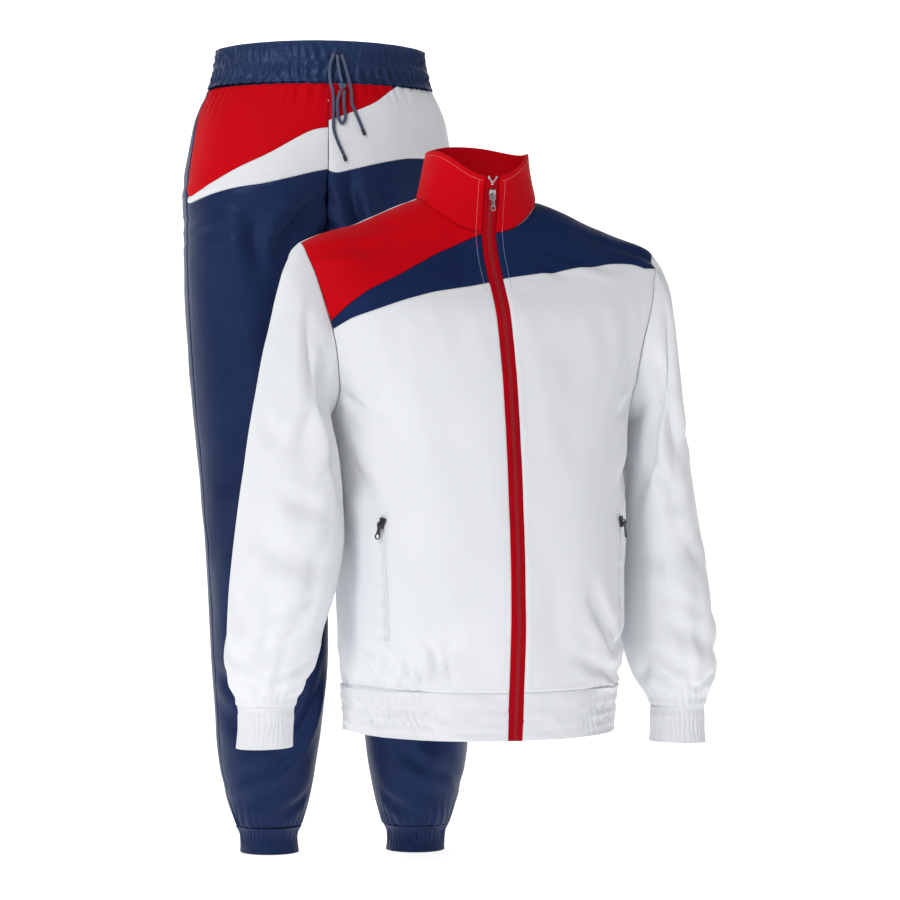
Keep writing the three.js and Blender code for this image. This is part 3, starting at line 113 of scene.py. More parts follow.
WRIST_RIGHT = np.array([
    [302, -606, 232, -606, -44, 31, 1],
    [301, -612, 233, -612, -42, 29, 1],
    [301.5, -632, 234, -631, -41, 28, 1],
    [303, -657, 235, -655, -42, 29, 1],
])
WRIST_LEFT = np.array([
    [292, -617, 225, -617, -42, 32, 1],
    [291.5, -623, 224, -623, -40.5, 30.5, 1],
    [292, -642, 223.5, -641, -40, 30, 1],
    [293, -664, 222.5, -662, -41, 31, 1],
])
SLEEVES = {-1: SLEEVE_RIGHT, 1: SLEEVE_LEFT}
WRISTS = {-1: WRIST_RIGHT, 1: WRIST_LEFT}
# Colour seams of the fronts from the zip outwards: x, z; the last height lies on the armhole.
RED_EDGE = np.array([
    [-9, -41], [-44, -56], [-77, -71], [-117, -91], [-143, -104], [-160, -114], [-181, -130], [-200, -149],
])
NAVY_EDGE_RIGHT = np.array([
    [-9, -100], [-45, -107], [-85, -114], [-123, -125], [-155, -137], [-178, -146], [-198, -159],
])
NAVY_EDGE_LEFT = np.array([[9, -96], [45, -91], [84, -85], [122, -79], [156, -74], [183, -74], [203, -80]])
# Trousers from the waist down: z, centre of the leg tube, its radius, front y, back y.
LEG = np.array([
    [219, 0, 138, -97, 99],
    [195, 0, 142, -99, 102],
    [168, 0, 149, -102, 107],
    [130, 6, 157, -105, 114],
    [92, 20, 151, -107, 119],
    [50, 44, 135, -106, 120],
    [12, 68, 112, -102, 116],
    [-18, 82, 97, -98, 110],
    [-42, 89.5, 89.3, -95, 104],
    [-120, 89.5, 88, -91, 97],
    [-236, 89, 86, -86, 90],
    [-368, 90, 80, -80, 82],
    [-551, 93, 77, -74, 76],
    [-640, 96, 71, -68, 70],
    [-703, 98, 65, -62, 64],
    [-757, 97.5, 55, -53, 56],
    [-793, 97, 44, -44, 46],
])
ANKLE = np.array(
    [[-793, 97, 44, -44, 46], [-799, 97, 40, -41, 42], [-810, 97, 38, -39, 40], [-827, 96, 38.5, -40, 41]]
)
WAIST_SEAM, CROTCH, ANKLE_SEAM = 2, 8, 16
HIP_RED_RIGHT = np.array([[0, 111], [-26, 105], [-76, 78], [-117, 59], [-147, 42], [-172, 26]])
HIP_WHITE_RIGHT = np.array([[0, 57], [-20, 53], [-76, 40], [-117, 34], [-147, 27], [-173, 17]])
HIP_RED_LEFT = np.array([[0, 120], [25, 129], [50, 139], [66, 148], [90, 168]])
HIP_WHITE_LEFT = np.array([[0, 56], [12, 53], [35, 58], [77, 68], [115, 74], [174, 73]])


class Slot(Enum):
    """The record's material slots."""

    WHITE = "white_cloth"
    RIB = "white_rib"
    RED = "red_cloth"
    NAVY = "navy_cloth"
    LEGS = "trouser_cloth"
    WAIST = "waist_elastic"
    TAPE = "zip_tape"
    POCKET_TAPE = "pocket_tape"
    METAL = "zip_metal"
    DARK = "dark_metal"
    CORD = "drawstring"
    TIP = "drawstring_tip"


class Held(Enum):
    HUNG = "hung"
    GATHERED = "gathered"
    STRETCHED = "stretched"


@dataclass(frozen=True)
class Fold:
    """Soft trough from one place to another, each place an angle in degrees and a height."""

    angle: float
    up: float
    to_angle: float
    to_up: float
    depth: float
    width: float
    bend: float = 0.0


# The first rows of each table are the folds of the solids; the others are the shallower creases between them.
BODY_FOLDS = [
    Fold(31, -466, 45, -522, 5, 12, 6), Fold(-80, -300, -58, -360, 5, 18, 8),
    Fold(78, -290, 56, -350, 5, 18, -8),
    Fold(-36, -566, -20, -515, 4, 15, 5), Fold(-120, -300, -150, -380, 5, 20, 10),
    Fold(118, -310, 152, -400, 5, 20, -9),
    Fold(-150, -560, -128, -480, 5, 18, 8), Fold(140, -565, 165, -470, 4, 18, 7),
    Fold(24, -548, 62, -572, 3.4, 8, 5), Fold(40, -500, 60, -560, 2.8, 7, -6),
    Fold(48, -540, 78, -520, 2.6, 8, 4),
    Fold(70, -430, 62, -560, 2.2, 12, 6), Fold(12, -440, 16, -560, 1.4, 16, 4),
    Fold(20, -150, 24, -330, 1.2, 22, 8),
    Fold(-30, -568, -33, -528, 3.0, 5, 2), Fold(-41, -575, -44, -540, 2.6, 5, -2),
    Fold(-50, -560, -66, -535, 3, 7, 4),
    Fold(-62, -575, -74, -552, 2.6, 6, 3), Fold(-84, -420, -74, -560, 2.4, 14, 6),
    Fold(-24, -180, -27, -420, 1.2, 20, -9),
    Fold(-12, -250, -14, -470, 1.0, 18, 6), Fold(-50, -170, -46, -300, 1.4, 16, 6),
    Fold(52, -150, 47, -290, 1.6, 15, -6),
    Fold(-72, -235, -50, -262, 2.6, 9, 4), Fold(72, -232, 52, -258, 2.4, 9, -4),
    Fold(100, -245, 128, -285, 3, 11, 5),
    Fold(-102, -240, -130, -282, 3, 11, -5), Fold(150, -90, 172, -210, 1.8, 20, 6),
    Fold(-148, -96, -170, -230, 1.8, 20, -8),
    Fold(170, -300, 188, -520, 1.6, 22, 10), Fold(-125, -566, -142, -528, 3, 8, 3),
    Fold(112, -570, 124, -520, 3, 8, -3),
    Fold(-176, -568, -168, -500, 2.4, 11, 4), Fold(96, -570, 92, -500, 2.8, 9, 3),
    Fold(-97, -572, -94, -505, 2.6, 9, 3),
    Fold(26, -62, 44, -80, 1.8, 8, 3), Fold(56, -48, 78, -72, 2.2, 9, 4),
    Fold(18, -66, 22, -92, 1.4, 7, 2),
    Fold(60, -74, 84, -78, 1.6, 7, -3), Fold(-40, -60, -66, -66, 1.6, 9, 3),
    Fold(-24, -572, -25, -545, 2.2, 4, 1),
    Fold(-37, -578, -39, -556, 2.6, 4, 1), Fold(-46, -580, -49, -558, 2.4, 4, -1),
    Fold(-58, -578, -60, -548, 2.8, 5, 2),
    Fold(33, -478, 52, -548, 3.4, 7, 5), Fold(44, -566, 60, -582, 3.2, 5, 2),
    Fold(66, -572, 84, -560, 2.8, 6, 3),
]
SLEEVE_FOLDS = [
    Fold(70, -150, 120, -260, 5, 16, 9), Fold(110, -240, 60, -330, 5, 15, 8),
    Fold(40, -400, 130, -440, 4, 15, 8),
    Fold(30, -545, 110, -505, 5, 14, 6), Fold(230, -300, 290, -360, 4, 16, 7),
    Fold(240, -460, 310, -500, 4, 15, 7),
    Fold(200, -555, 280, -530, 4, 14, 6),
    Fold(60, -120, 84, -205, 3, 9, 5), Fold(130, -280, 96, -350, 3, 10, -6),
    Fold(20, -250, 66, -300, 2.2, 12, 6),
    Fold(60, -350, 118, -372, 2.8, 10, 5), Fold(96, -400, 40, -460, 2.4, 12, 6),
    Fold(120, -470, 60, -500, 3, 10, -5),
    Fold(-20, -520, 50, -560, 3, 9, 5), Fold(10, -470, 54, -520, 2.4, 11, 6),
    Fold(84, -575, 130, -545, 3.2, 8, 4),
    Fold(140, -560, 178, -585, 3, 8, 4), Fold(250, -130, 284, -230, 3, 14, 7),
    Fold(300, -210, 330, -320, 2.2, 16, 8),
    Fold(215, -400, 262, -430, 3, 11, 5), Fold(320, -430, 350, -520, 2.4, 14, 7),
    Fold(260, -570, 322, -556, 3, 9, 4),
    Fold(180, -330, 214, -390, 3, 11, 5), Fold(344, -565, 386, -585, 2.4, 8, 3),
    Fold(104, -150, 122, -300, 5, 9, 5), Fold(122, -240, 142, -360, 5, 9, 6),
    Fold(84, -180, 96, -420, 2.6, 13, 6),
    Fold(118, -380, 108, -540, 2.6, 10, 5), Fold(60, -420, 66, -590, 2.4, 12, -5),
    Fold(96, -500, 90, -598, 2.6, 8, 3),
    Fold(30, -566, 74, -594, 3.4, 6, 4), Fold(100, -592, 140, -570, 3.4, 6, 3),
    Fold(58, -600, 92, -588, 2.6, 5, 2),
]
LEG_FOLDS = [
    Fold(-120, 30, -104, -60, 6, 15, 6), Fold(-80, 20, -88, -80, 4, 14, 5),
    Fold(-140, -90, -90, -160, 5, 18, 8),
    Fold(-30, -640, -110, -700, 6, 18, 8), Fold(-100, -735, -20, -765, 4, 14, 5),
    Fold(-60, -380, -20, -430, 4, 20, 8),
    Fold(110, -60, 60, -130, 5, 18, 8), Fold(100, -370, 50, -400, 5, 18, 7),
    Fold(40, -690, 120, -740, 5, 16, 6),
    Fold(-60, -140, -66, -330, 1.8, 20, 10), Fold(-100, -300, -40, -352, 2.6, 13, 6),
    Fold(-128, -420, -70, -470, 2.4, 13, 6),
    Fold(-50, -520, -74, -640, 2.2, 16, 9), Fold(-120, -560, -60, -600, 2.6, 12, 6),
    Fold(-20, -590, -80, -640, 3, 11, 5),
    Fold(-120, -690, -60, -725, 3.4, 9, 5), Fold(-70, -712, -10, -740, 3, 9, 4),
    Fold(-150, -750, -104, -772, 2.8, 8, 3),
    Fold(20, -180, 70, -240, 3, 14, 7), Fold(120, -150, 90, -260, 2.4, 16, 8),
    Fold(130, -430, 70, -470, 2.8, 13, 6),
    Fold(20, -560, 80, -610, 3, 13, 6), Fold(140, -640, 80, -690, 3.2, 11, 5),
    Fold(10, -740, 70, -768, 3, 9, 4),
    Fold(100, 90, 70, 10, 2.4, 18, 8), Fold(150, 40, 120, -20, 3, 13, 5),
]
# Creases of one leg only: the right one has a long twist low down, the left one hangs straighter.
RIGHT_LEG_FOLDS = [
    Fold(-150, -600, -96, -705, 4.5, 12, 8), Fold(-40, -610, -96, -668, 3.4, 10, -5),
    Fold(-104, -90, -98, -240, 2.2, 17, 8),
    Fold(-150, -20, -140, -110, 3, 11, 4), Fold(-158, 100, -160, -40, 3, 7, 2),
    Fold(-70, 8, -92, -70, 3, 10, 5),
]
LEFT_LEG_FOLDS = [
    Fold(-117, 56, -149, -30, 8, 8, 2), Fold(-96, 50, -120, -40, 8, 7, 3),
    Fold(-80, 50, -96, -40, 3.4, 8, 3), Fold(-98, -640, -60, -700, 3.2, 11, 6),
    Fold(-60, 48, -78, -60, 3.2, 13, 6), Fold(-140, 20, -128, -50, 3, 7, 2),
]


def through(values: Array, t: Array) -> Array:
    """Value of a smooth curve through a table's rows.

    Args:
        values: one row for each station; further axes are carried along.
        t: places counted in rows.

    Returns:
        The values at the places.
    """
    t = np.asarray(t, float)
    last = len(values) - 1
    i = np.clip(np.floor(t).astype(int), 0, last - 1)
    f = (t - i).reshape(t.shape + (1,) * (values.ndim - 1))
    before, here, after, beyond = (values[np.clip(i + k, 0, last)] for k in (-1, 0, 1, 2))
    slope_in, slope_out, rise = (after - before) / 2, (beyond - here) / 2, after - here
    return here + f * slope_in + f * f * (3 * rise - 2 * slope_in - slope_out) + f**3 * (
        slope_in + slope_out - 2 * rise
    )


def lerp(a: Array, b: Array, share: Array) -> Array:
    """Value between a and b."""
    return a + (b - a) * share


def smooth(x: Array, low: float, high: float) -> Array:
    """Soft step from 0 at low to 1 at high."""
    share = np.clip((x - low) / (high - low), 0, 1)
    return share * share * (3 - 2 * share)


def signed_power(value: Array, power: Array) -> Array:
    """Power of a number that keeps its sign."""
    return np.sign(value) * np.abs(value) ** power


def unit(vectors: Array) -> Array:
    """Vectors of length one."""
    return vectors / np.maximum(np.linalg.norm(vectors, axis=-1, keepdims=True), 1e-9)


def steps(start: float, end: float, count: int) -> Array:
    """Evenly spaced values from start to end, count spans."""
    return np.linspace(start, end, count + 1)


def joined(*lists: Array) -> Array:
    """Edges end to end, with the points that they share counted once."""
    return np.concatenate([part[1:] if k else part for k, part in enumerate(lists)])


def places(around: Array, t: Array) -> Array:
    """Pairs of angle and row."""
    return np.stack(np.broadcast_arrays(np.asarray(around, float), np.asarray(t, float)), -1)


def side_share(turned: Array) -> Array:
    """1 over the gathered sides of the jacket, fading to 0 beside the zip and on the back."""
    return smooth(np.abs(turned), 20, 44) * (1 - smooth(np.abs(turned), 136, 158))


class Unevenness:
    """Smooth seeded noise in space, from -1 to 1."""

    SIDE = 32

    def __init__(self, seed: int) -> None:
        """Fills the lattice for one seed."""
        self.lattice = np.random.default_rng(seed).uniform(-1, 1, (self.SIDE,) * 3)

    def at(self, points: Array, cell: Sequence[float]) -> Array:
        """Noise at points.

        Args:
            points: places in millimetres.
            cell: size of the noise along each axis.

        Returns:
            One value for each point.
        """
        turned = points @ np.array([[0.93, 0.31, 0.08], [-0.3, 0.94, -0.1], [-0.1, 0.06, 0.99]]).T
        scaled = turned / np.asarray(cell, float)
        index = np.floor(scaled).astype(int)
        share = scaled - index
        share = share * share * (3 - 2 * share)
        total = np.zeros(points.shape[:-1])
        for corner in itertools.product((0, 1), repeat=3):
            weight = np.prod(
                [share[..., k] if c else 1 - share[..., k] for k, c in enumerate(corner)], axis=0
            )
            x, y, z = (((index[..., k] + c) % self.SIDE) for k, c in enumerate(corner))
            total += weight * self.lattice[x, y, z]
        return total


NOISE = Unevenness(11)


def fold_relief(folds: Sequence[Fold], around: Array, up: Array, radius: float) -> Array:
    """Outward height of soft folds: a trough with a raised lip on each side, fading at both ends.

    Args:
        folds: the table of folds.
        around: angles in degrees.
        up: heights.
        radius: length of one radian of the angle.

    Returns:
        Heights in millimetres, negative in the troughs.
    """
    total = np.zeros(np.broadcast(around, up).shape)
    x, y = np.radians(around) * radius, up
    for fold in folds:
        x0, x1 = math.radians(fold.angle) * radius, math.radians(fold.to_angle) * radius
        dx, dy = x1 - x0, fold.to_up - fold.up
        length = math.hypot(dx, dy)
        share = ((x - x0) * dx + (y - fold.up) * dy) / length**2
        off = ((x - x0) * dy - (y - fold.up) * dx) / length - fold.bend * (1 - (2 * share - 1) ** 2)
        taper = np.where(np.abs(share - 0.5) < 0.8, np.cos((share - 0.5) / 0.8 * math.pi / 2) ** 2, 0)
        o = off / fold.width
        lips = 0.42 * np.exp(-(((o - 1.75) / 0.95) ** 2)) + 0.2 * np.exp(-(((o + 1.9) / 1.1) ** 2))
        total += fold.depth * taper * (lips - np.exp(-(o**2)))
    return total


def gather_wave(along: Array, up: Array, pitch: float, seed: float) -> Array:
    """Uneven gathers of elastic cloth: narrow ridges, 1, and rounded troughs, 0.

    Args:
        along: distance along the band.
        up: distance across the band.
        pitch: mean distance between ridges.
        seed: shifts the pattern.

    Returns:
        Heights between 0 and 1.
    """
    here = np.stack(np.broadcast_arrays(along + 997 * seed, up * 1.0, np.full_like(along, seed * 31.0)), -1)
    drift = NOISE.at(here, (pitch * 4.2, pitch * 5, 9)) * 0.55 + NOISE.at(
        here + 400, (pitch * 1.7, pitch * 1.9, 9)
    ) * 0.38
    wave = 0.5 + 0.5 * np.cos(2 * math.pi * (along / pitch + drift))
    height = 0.68 + 0.32 * NOISE.at(here - 300, (pitch * 1.6, pitch * 2.5, 9))
    return wave**1.4 * height


@dataclass(frozen=True)
class Rings:
    """Surface of rings round the Z axis: angle 0 faces the front, 90 the wearer's left; t counts the rows."""

    table: Array
    dip: float = 0.0  # how much sharper the height changes beside the front, for each row

    def plain(self, around: Array, t: Array) -> Array:
        """Points of the smooth surface."""
        around, t = np.broadcast_arrays(np.asarray(around, float), np.asarray(t, float))
        front_y, front_z, side_x, side_y, side_z, back_y, back_z, full = np.moveaxis(
            through(self.table, t), -1, 0
        )
        c, s = np.cos(np.radians(around)), np.sin(np.radians(around))
        end_y, end_z = np.where(c >= 0, front_y, back_y), np.where(c >= 0, front_z, back_z)
        return np.stack([
            side_x * signed_power(s, full), lerp(side_y, end_y, np.abs(c) ** full),
            lerp(side_z, end_z, np.abs(c) ** np.where(c > 0, 2 + self.dip * t, 2)),
        ], -1)

    def normal(self, around: Array, t: Array) -> Array:
        """Outward directions of the smooth surface."""
        t = np.clip(t, 0.002, len(self.table) - 1.002)
        along = self.plain(around + 0.5, t) - self.plain(around - 0.5, t)
        up = self.plain(around, t + 0.002) - self.plain(around, t - 0.002)
        return unit(np.cross(along, up))

    def around_at_x(self, x: float, t: Array) -> Array:
        """Angle at which the front half of the rings has the given x."""
        row = through(self.table, t)
        return np.sign(x) * np.degrees(
            np.arcsin(np.minimum(1, np.abs(x) / row[..., 2]) ** (1 / row[..., 7]))
        )

    def around_at_y(self, y: Array, t: Array) -> Array:
        """Angle at which the rings have the given y, on the +X side."""
        row = through(self.table, t)
        ahead = y < row[..., 3]
        end = np.where(ahead, row[..., 0], row[..., 5])
        share = np.minimum(1, np.abs((y - row[..., 3]) / (end - row[..., 3]))) ** (1 / row[..., 7])
        turned = np.degrees(np.arcsin(share))
        return np.where(ahead, 90 - turned, 90 + turned)

    def row_at_z(self, z: Array, around_at: Callable[[Array], Array], low: float, high: float) -> Array:
        """Row at which the surface has height z, along the places that around_at gives."""
        a, b = np.full(np.shape(z), float(low)), np.full(np.shape(z), float(high))
        for _ in range(36):
            t = (a + b) / 2
            below = self.plain(around_at(t), t)[..., 2] < z
            a, b = np.where(below, t, a), np.where(below, b, t)
        return (a + b) / 2


@dataclass(frozen=True)
class Placing:
    """Where a garment stands in the frame: a shift and a turn about Z."""

    x: float = 0.0
    y: float = 0.0
    turn: float = 0.0

    def apply(self, points: Array) -> Array:
        """Points in the frame, in metres."""
        c, s = math.cos(math.radians(self.turn)), math.sin(math.radians(self.turn))
        turned = points @ np.array([[c, s, 0], [-s, c, 0], [0, 0, 1]])
        return (turned + np.array([self.x, self.y, 0])) * MM

    def directions(self, vectors: Array) -> Array:
        """Directions in the frame."""
        return self.apply(vectors) / MM - np.array([self.x, self.y, 0])


JACKET_AT = Placing()
TROUSERS_AT = Placing(-110, 337, -9)


def new_mesh(name: str, points: Array, faces: Sequence, uv: Array | None = None) -> bpy.types.Object:
    """Links a mesh object.

    Args:
        name: the piece's name.
        points: vertices in metres.
        faces: corner indices.
        uv: one pair for each vertex, in metres of cloth.

    Returns:
        The object, smooth with sharp edges kept.
    """
    mesh = bpy.data.meshes.new(name)
    mesh.from_pydata(points.tolist(), [], faces if isinstance(faces, list) else faces.tolist())
    mesh.update()
    mesh.shade_smooth()
    mesh.set_sharp_from_angle(angle=math.radians(62))
    if uv is not None:
        corners = np.zeros(len(mesh.loops), np.int32)
        mesh.loops.foreach_get("vertex_index", corners)
        mesh.uv_layers.new(name="cloth").data.foreach_set("uv", uv[corners].astype(np.float32).ravel())
    obj = bpy.data.objects.new(name, mesh)
    bpy.context.scene.collection.objects.link(obj)
    return obj


def volume_of(points: Array, quads: Array) -> float:
    """Signed volume inside closed faces of four corners."""
    a, b, c, d = (points[quads[:, k]] for k in range(4))
    return float(np.sum(a * np.cross(b, c)) + np.sum(a * np.cross(c, d)))


EDGE_LINES = (0.3, 1.0, 2.4)  # extra grid lines at these distances from a panel's edges
DIP_WIDTH = 1.7


@dataclass(frozen=True)
class Dips:
    """How deep the four edges of a panel sink into their seams."""

    left: float = 0.9
    right: float = 0.9
    bottom: float = 0.9
    top: float = 0.9


def edge_distances(points: Array, axis: int) -> tuple[Array, Array]:
    """Distances of each grid point from the two edges across an axis."""
    step = np.linalg.norm(np.diff(points, axis=axis), axis=-1)
    pad = [(1, 0) if k == axis else (0, 0) for k in range(2)]
    start = np.cumsum(np.pad(step, pad), axis=axis)
    return start, start.max(axis=axis, keepdims=True) - start


def cloth_shell(
    name: str, outer: Array, inward: Array, thick: float, dips: Dips, placing: Placing, ring: bool = False
) -> bpy.types.Object:
    """Closed thin shell of cloth on a grid of outer points, with rounded edges that sink into the seams.

    Args:
        name: the piece's name.
        outer: rows of points in millimetres.
        inward: the direction of the cloth's thickness at each point.
        thick: thickness.
        dips: how deep the edges sink.
        placing: where the garment stands.
        ring: the last column joins the first one.

    Returns:
        The object, with a UV map in metres of cloth.
    """
    rows, count = outer.shape[:2]
    low, high = edge_distances(outer, 0)
    left, right = edge_distances(outer, 1)
    edges = [(low, dips.bottom), (high, dips.top)]
    if not ring:
        edges += [(left, dips.left), (right, dips.right)]
    dip = sum(deep * np.exp(-((far / DIP_WIDTH) ** 2)) for far, deep in edges)
    half = thick / 2
    nearest = np.minimum.reduce([far for far, _ in edges])
    curl = half * (1 - np.sqrt(1 - (1 - np.clip(nearest / half, 0, 1)) ** 2)) * 0.92
    face = outer + inward * (dip + curl)[..., None]
    lining = outer + inward * (thick + dip - curl)[..., None]
    index = np.arange(2 * rows * count).reshape(2, rows, count)
    if ring:
        index = np.concatenate([index, index[:, :, :1]], axis=2)
    a, b, c, d = index[:, :-1, :-1], index[:, :-1, 1:], index[:, 1:, 1:], index[:, 1:, :-1]
    quads = [
        np.stack([a[0], b[0], c[0], d[0]], -1).reshape(-1, 4),
        np.stack([d[1], c[1], b[1], a[1]], -1).reshape(-1, 4),
    ]
    foot, top = index[:, 0], index[:, -1]
    quads.append(np.stack([foot[1, :-1], foot[1, 1:], foot[0, 1:], foot[0, :-1]], -1))
    quads.append(np.stack([top[0, :-1], top[0, 1:], top[1, 1:], top[1, :-1]], -1))
    if not ring:
        start, end = index[:, :, 0], index[:, :, -1]
        quads.append(np.stack([start[0, :-1], start[0, 1:], start[1, 1:], start[1, :-1]], -1))
        quads.append(np.stack([end[1, :-1], end[1, 1:], end[0, 1:], end[0, :-1]], -1))
    faces = np.concatenate(quads)
    points = placing.apply(np.concatenate([face.reshape(-1, 3), lining.reshape(-1, 3)]))
    if volume_of(points, faces) < 0:
        faces = faces[:, ::-1]
    uv = np.stack([left, low], -1).reshape(-1, 2) * MM
    return new_mesh(name, points, faces, np.concatenate([uv, uv]))


def edge_lines(count: int, length: float) -> Array:
    """Shares of the way across a panel: even spans, with more lines beside both edges."""
    near = np.array(EDGE_LINES) / length
    even = np.linspace(0, 1, count + 1)
    even = even[(even == 0) | (even == 1) | ((even > near[-1] * 1.3) & (even < 1 - near[-1] * 1.3))]
    return np.sort(np.concatenate([even, near, 1 - near]))


def resampled(edge: Array, shares: Array) -> Array:
    """Places along an edge at shares of its list."""
    index = np.arange(len(edge))
    return np.stack([np.interp(shares * (len(edge) - 1), index, edge[:, k]) for k in (0, 1)], -1)


@dataclass(frozen=True)
class Panel:
    """One cut panel inside four edges of places; left and right run up, bottom and top run across."""

    name: str
    left: Array
    right: Array
    bottom: Array
    top: Array
    rows: int
    columns: int
    dips: Dips = field(default_factory=Dips)
    thick: float = CLOTH

    def grid(self, u: Array, v: Array) -> Array:
        """Grid of places inside the edges."""
        left, right = resampled(self.left, v)[:, None], resampled(self.right, v)[:, None]
        bottom, top = resampled(self.bottom, u)[None], resampled(self.top, u)[None]
        uu, vv = u[None, :, None], v[:, None, None]
        low, high = lerp(self.bottom[0], self.bottom[-1], uu), lerp(self.top[0], self.top[-1], uu)
        return lerp(bottom, top, vv) + lerp(left, right, uu) - lerp(low, high, vv)

    def build(self, surface: Surface, placing: Placing) -> bpy.types.Object:
        """The panel as a shell on a surface.

        Args:
            surface: gives points and outward directions for places.
            placing: where the garment stands.

        Returns:
            The object.
        """
        coarse, _ = surface(self.grid(np.linspace(0, 1, 9), np.linspace(0, 1, 9)))
        wide = float(edge_distances(coarse, 1)[0].max(axis=1).mean())
        tall = float(edge_distances(coarse, 0)[0].max(axis=0).mean())
        grid = self.grid(edge_lines(self.columns, wide), edge_lines(self.rows, tall))
        points, outward = surface(grid)
        return cloth_shell(self.name, points, -outward, self.thick, self.dips, placing)


def tube_mesh(name: str, path: Array, radius: Array, sides: int = 12) -> bpy.types.Object:
    """Closed tube along a path in metres, with its length in the UV map.

    Args:
        name: the piece's name.
        path: the centre line.
        radius: one value, or one for each point of the path.
        sides: faces round it.

    Returns:
        The object.
    """
    radius = np.broadcast_to(radius, len(path))
    tangent = unit(np.gradient(path, axis=0))
    side = unit(np.cross(tangent[0], [0.31, 0.86, 0.4]))
    turns = np.linspace(0, 2 * math.pi, sides + 1)[:-1]
    rings, uv = [], []
    along = np.concatenate([[0], np.cumsum(np.linalg.norm(np.diff(path, axis=0), axis=1))])
    for point, direction, r, far in zip(path, tangent, radius, along):
        side = unit(side - direction * (side @ direction))
        other = np.cross(direction, side)
        rings.append(point + r * (np.cos(turns)[:, None] * side + np.sin(turns)[:, None] * other))
        uv.append(np.stack([turns / (2 * math.pi) * 0.0126, np.full(sides, far)], -1))
    points = np.concatenate([*rings, path[:1], path[-1:]])
    uv = np.concatenate([*uv, [[0, 0]], [[0, along[-1]]]])
    faces: list = []
    for j in range(len(path) - 1):
        for i in range(sides):
            k = (i + 1) % sides
            faces.append((j * sides + i, j * sides + k, (j + 1) * sides + k, (j + 1) * sides + i))
    first, last = len(points) - 2, len(points) - 1
    end = (len(path) - 1) * sides
    for i in range(sides):
        k = (i + 1) % sides
        faces += [(first, k, i), (last, end + i, end + k)]
    return new_mesh(name, points, faces, uv)


class Nodes:
    """Short hand for the nodes of one material or node group."""

    def __init__(self, tree: bpy.types.NodeTree) -> None:
        """Wraps a node tree."""
        self.tree = tree

    def add(self, kind: str, inputs: dict | None = None, **settings: object) -> bpy.types.Node:
        """Adds a node.

        Args:
            kind: the node's type name.
            inputs: value or output socket for each input, by name or number.
            settings: the node's own properties.

        Returns:
            The node.
        """
        node = self.tree.nodes.new(kind)
        for key, value in settings.items():
            setattr(node, key, value)
        for key, value in (inputs or {}).items():
            if isinstance(value, bpy.types.NodeSocket):
                self.tree.links.new(value, node.inputs[key])
            else:
                node.inputs[key].default_value = value
        return node

    def math(self, operation: str, *values: object) -> bpy.types.NodeSocket:
        """Output of a Math node."""
        return self.add("ShaderNodeMath", dict(enumerate(values)), operation=operation).outputs[0]

    def mix(self, share: object, first: tuple, second: tuple) -> bpy.types.NodeSocket:
        """Colour between two colours by a share that changes over the surface."""
        node = self.add("ShaderNodeMix", data_type="RGBA")
        for socket, value in ((node.inputs[0], share), (node.inputs[6], first), (node.inputs[7], second)):
            if isinstance(value, bpy.types.NodeSocket):
                self.tree.links.new(value, socket)
            else:
                socket.default_value = value
        return node.outputs[2]


def shader_group(name: str, inputs: dict[str, float], outputs: Sequence[str]) -> tuple[
    bpy.types.NodeTree, Nodes
]:
    """Empty shader node group with float inputs and outputs, and its Group Input and Output nodes."""
    tree = bpy.data.node_groups.new(name, "ShaderNodeTree")
    for label, value in inputs.items():
        socket = tree.interface.new_socket(label, in_out="INPUT", socket_type="NodeSocketFloat")
        socket.default_value = value
    for label in outputs:
        tree.interface.new_socket(label, in_out="OUTPUT", socket_type="NodeSocketFloat")
    return tree, Nodes(tree)


class SharedEffects:
    """Node groups that several finishes use."""

    def __init__(self) -> None:
        """Builds the groups."""
        self.knit = self.make_knit()
        self.crumple = self.make_crumple()

    @staticmethod
    def make_knit() -> bpy.types.NodeTree:
        """Fine warp-knit cloth: wales along V and courses across, on the cloth's own UV map."""
        tree, nodes = shader_group(
            "fine_knit", {"Wales per metre": 1300.0, "Courses per metre": 1500.0}, ["Height"]
        )
        ins, outs = nodes.add("NodeGroupInput"), nodes.add("NodeGroupOutput")
        uv = nodes.add("ShaderNodeUVMap", uv_map="cloth").outputs[0]
        axes = nodes.add("ShaderNodeSeparateXYZ", {0: uv}).outputs
        full = 2 * math.pi
        across = nodes.math(
            "SINE", nodes.math("MULTIPLY", nodes.math("MULTIPLY", axes[0], ins.outputs[0]), full)
        )
        slanted = nodes.math(
            "ADD", nodes.math("MULTIPLY", axes[1], ins.outputs[1]), nodes.math("MULTIPLY", across, 0.22)
        )
        up = nodes.math("SINE", nodes.math("MULTIPLY", slanted, full))
        height = nodes.math("ADD", nodes.math("MULTIPLY", across, 0.6), nodes.math("MULTIPLY", up, 0.4))
        tree.links.new(height, outs.inputs[0])
        return tree

    @staticmethod
    def make_crumple() -> bpy.types.NodeTree:
        """Slow unevenness of handled cloth: a soft height, and a mask for tone and gloss."""
        tree, nodes = shader_group("soft_crumple", {"Size": 22.0, "Stretch": 0.45}, ["Height", "Tone"])
        ins, outs = nodes.add("NodeGroupInput"), nodes.add("NodeGroupOutput")
        place = nodes.add("ShaderNodeTexCoord").outputs["Object"]
        axes = nodes.add("ShaderNodeSeparateXYZ", {0: place}).outputs
        tall = nodes.math("MULTIPLY", axes[2], ins.outputs[1])
        space = nodes.add("ShaderNodeCombineXYZ", {0: axes[0], 1: axes[1], 2: tall}).outputs[0]
        fine = nodes.add(
            "ShaderNodeTexNoise",
            {"Vector": space, "Scale": ins.outputs[0], "Detail": 3.0, "Roughness": 0.5},
        )
        broad = nodes.add("ShaderNodeTexNoise", {"Vector": place, "Scale": 7.0, "Detail": 2.0})
        tree.links.new(fine.outputs["Fac"], outs.inputs[0])
        tree.links.new(broad.outputs["Fac"], outs.inputs[1])
        return tree


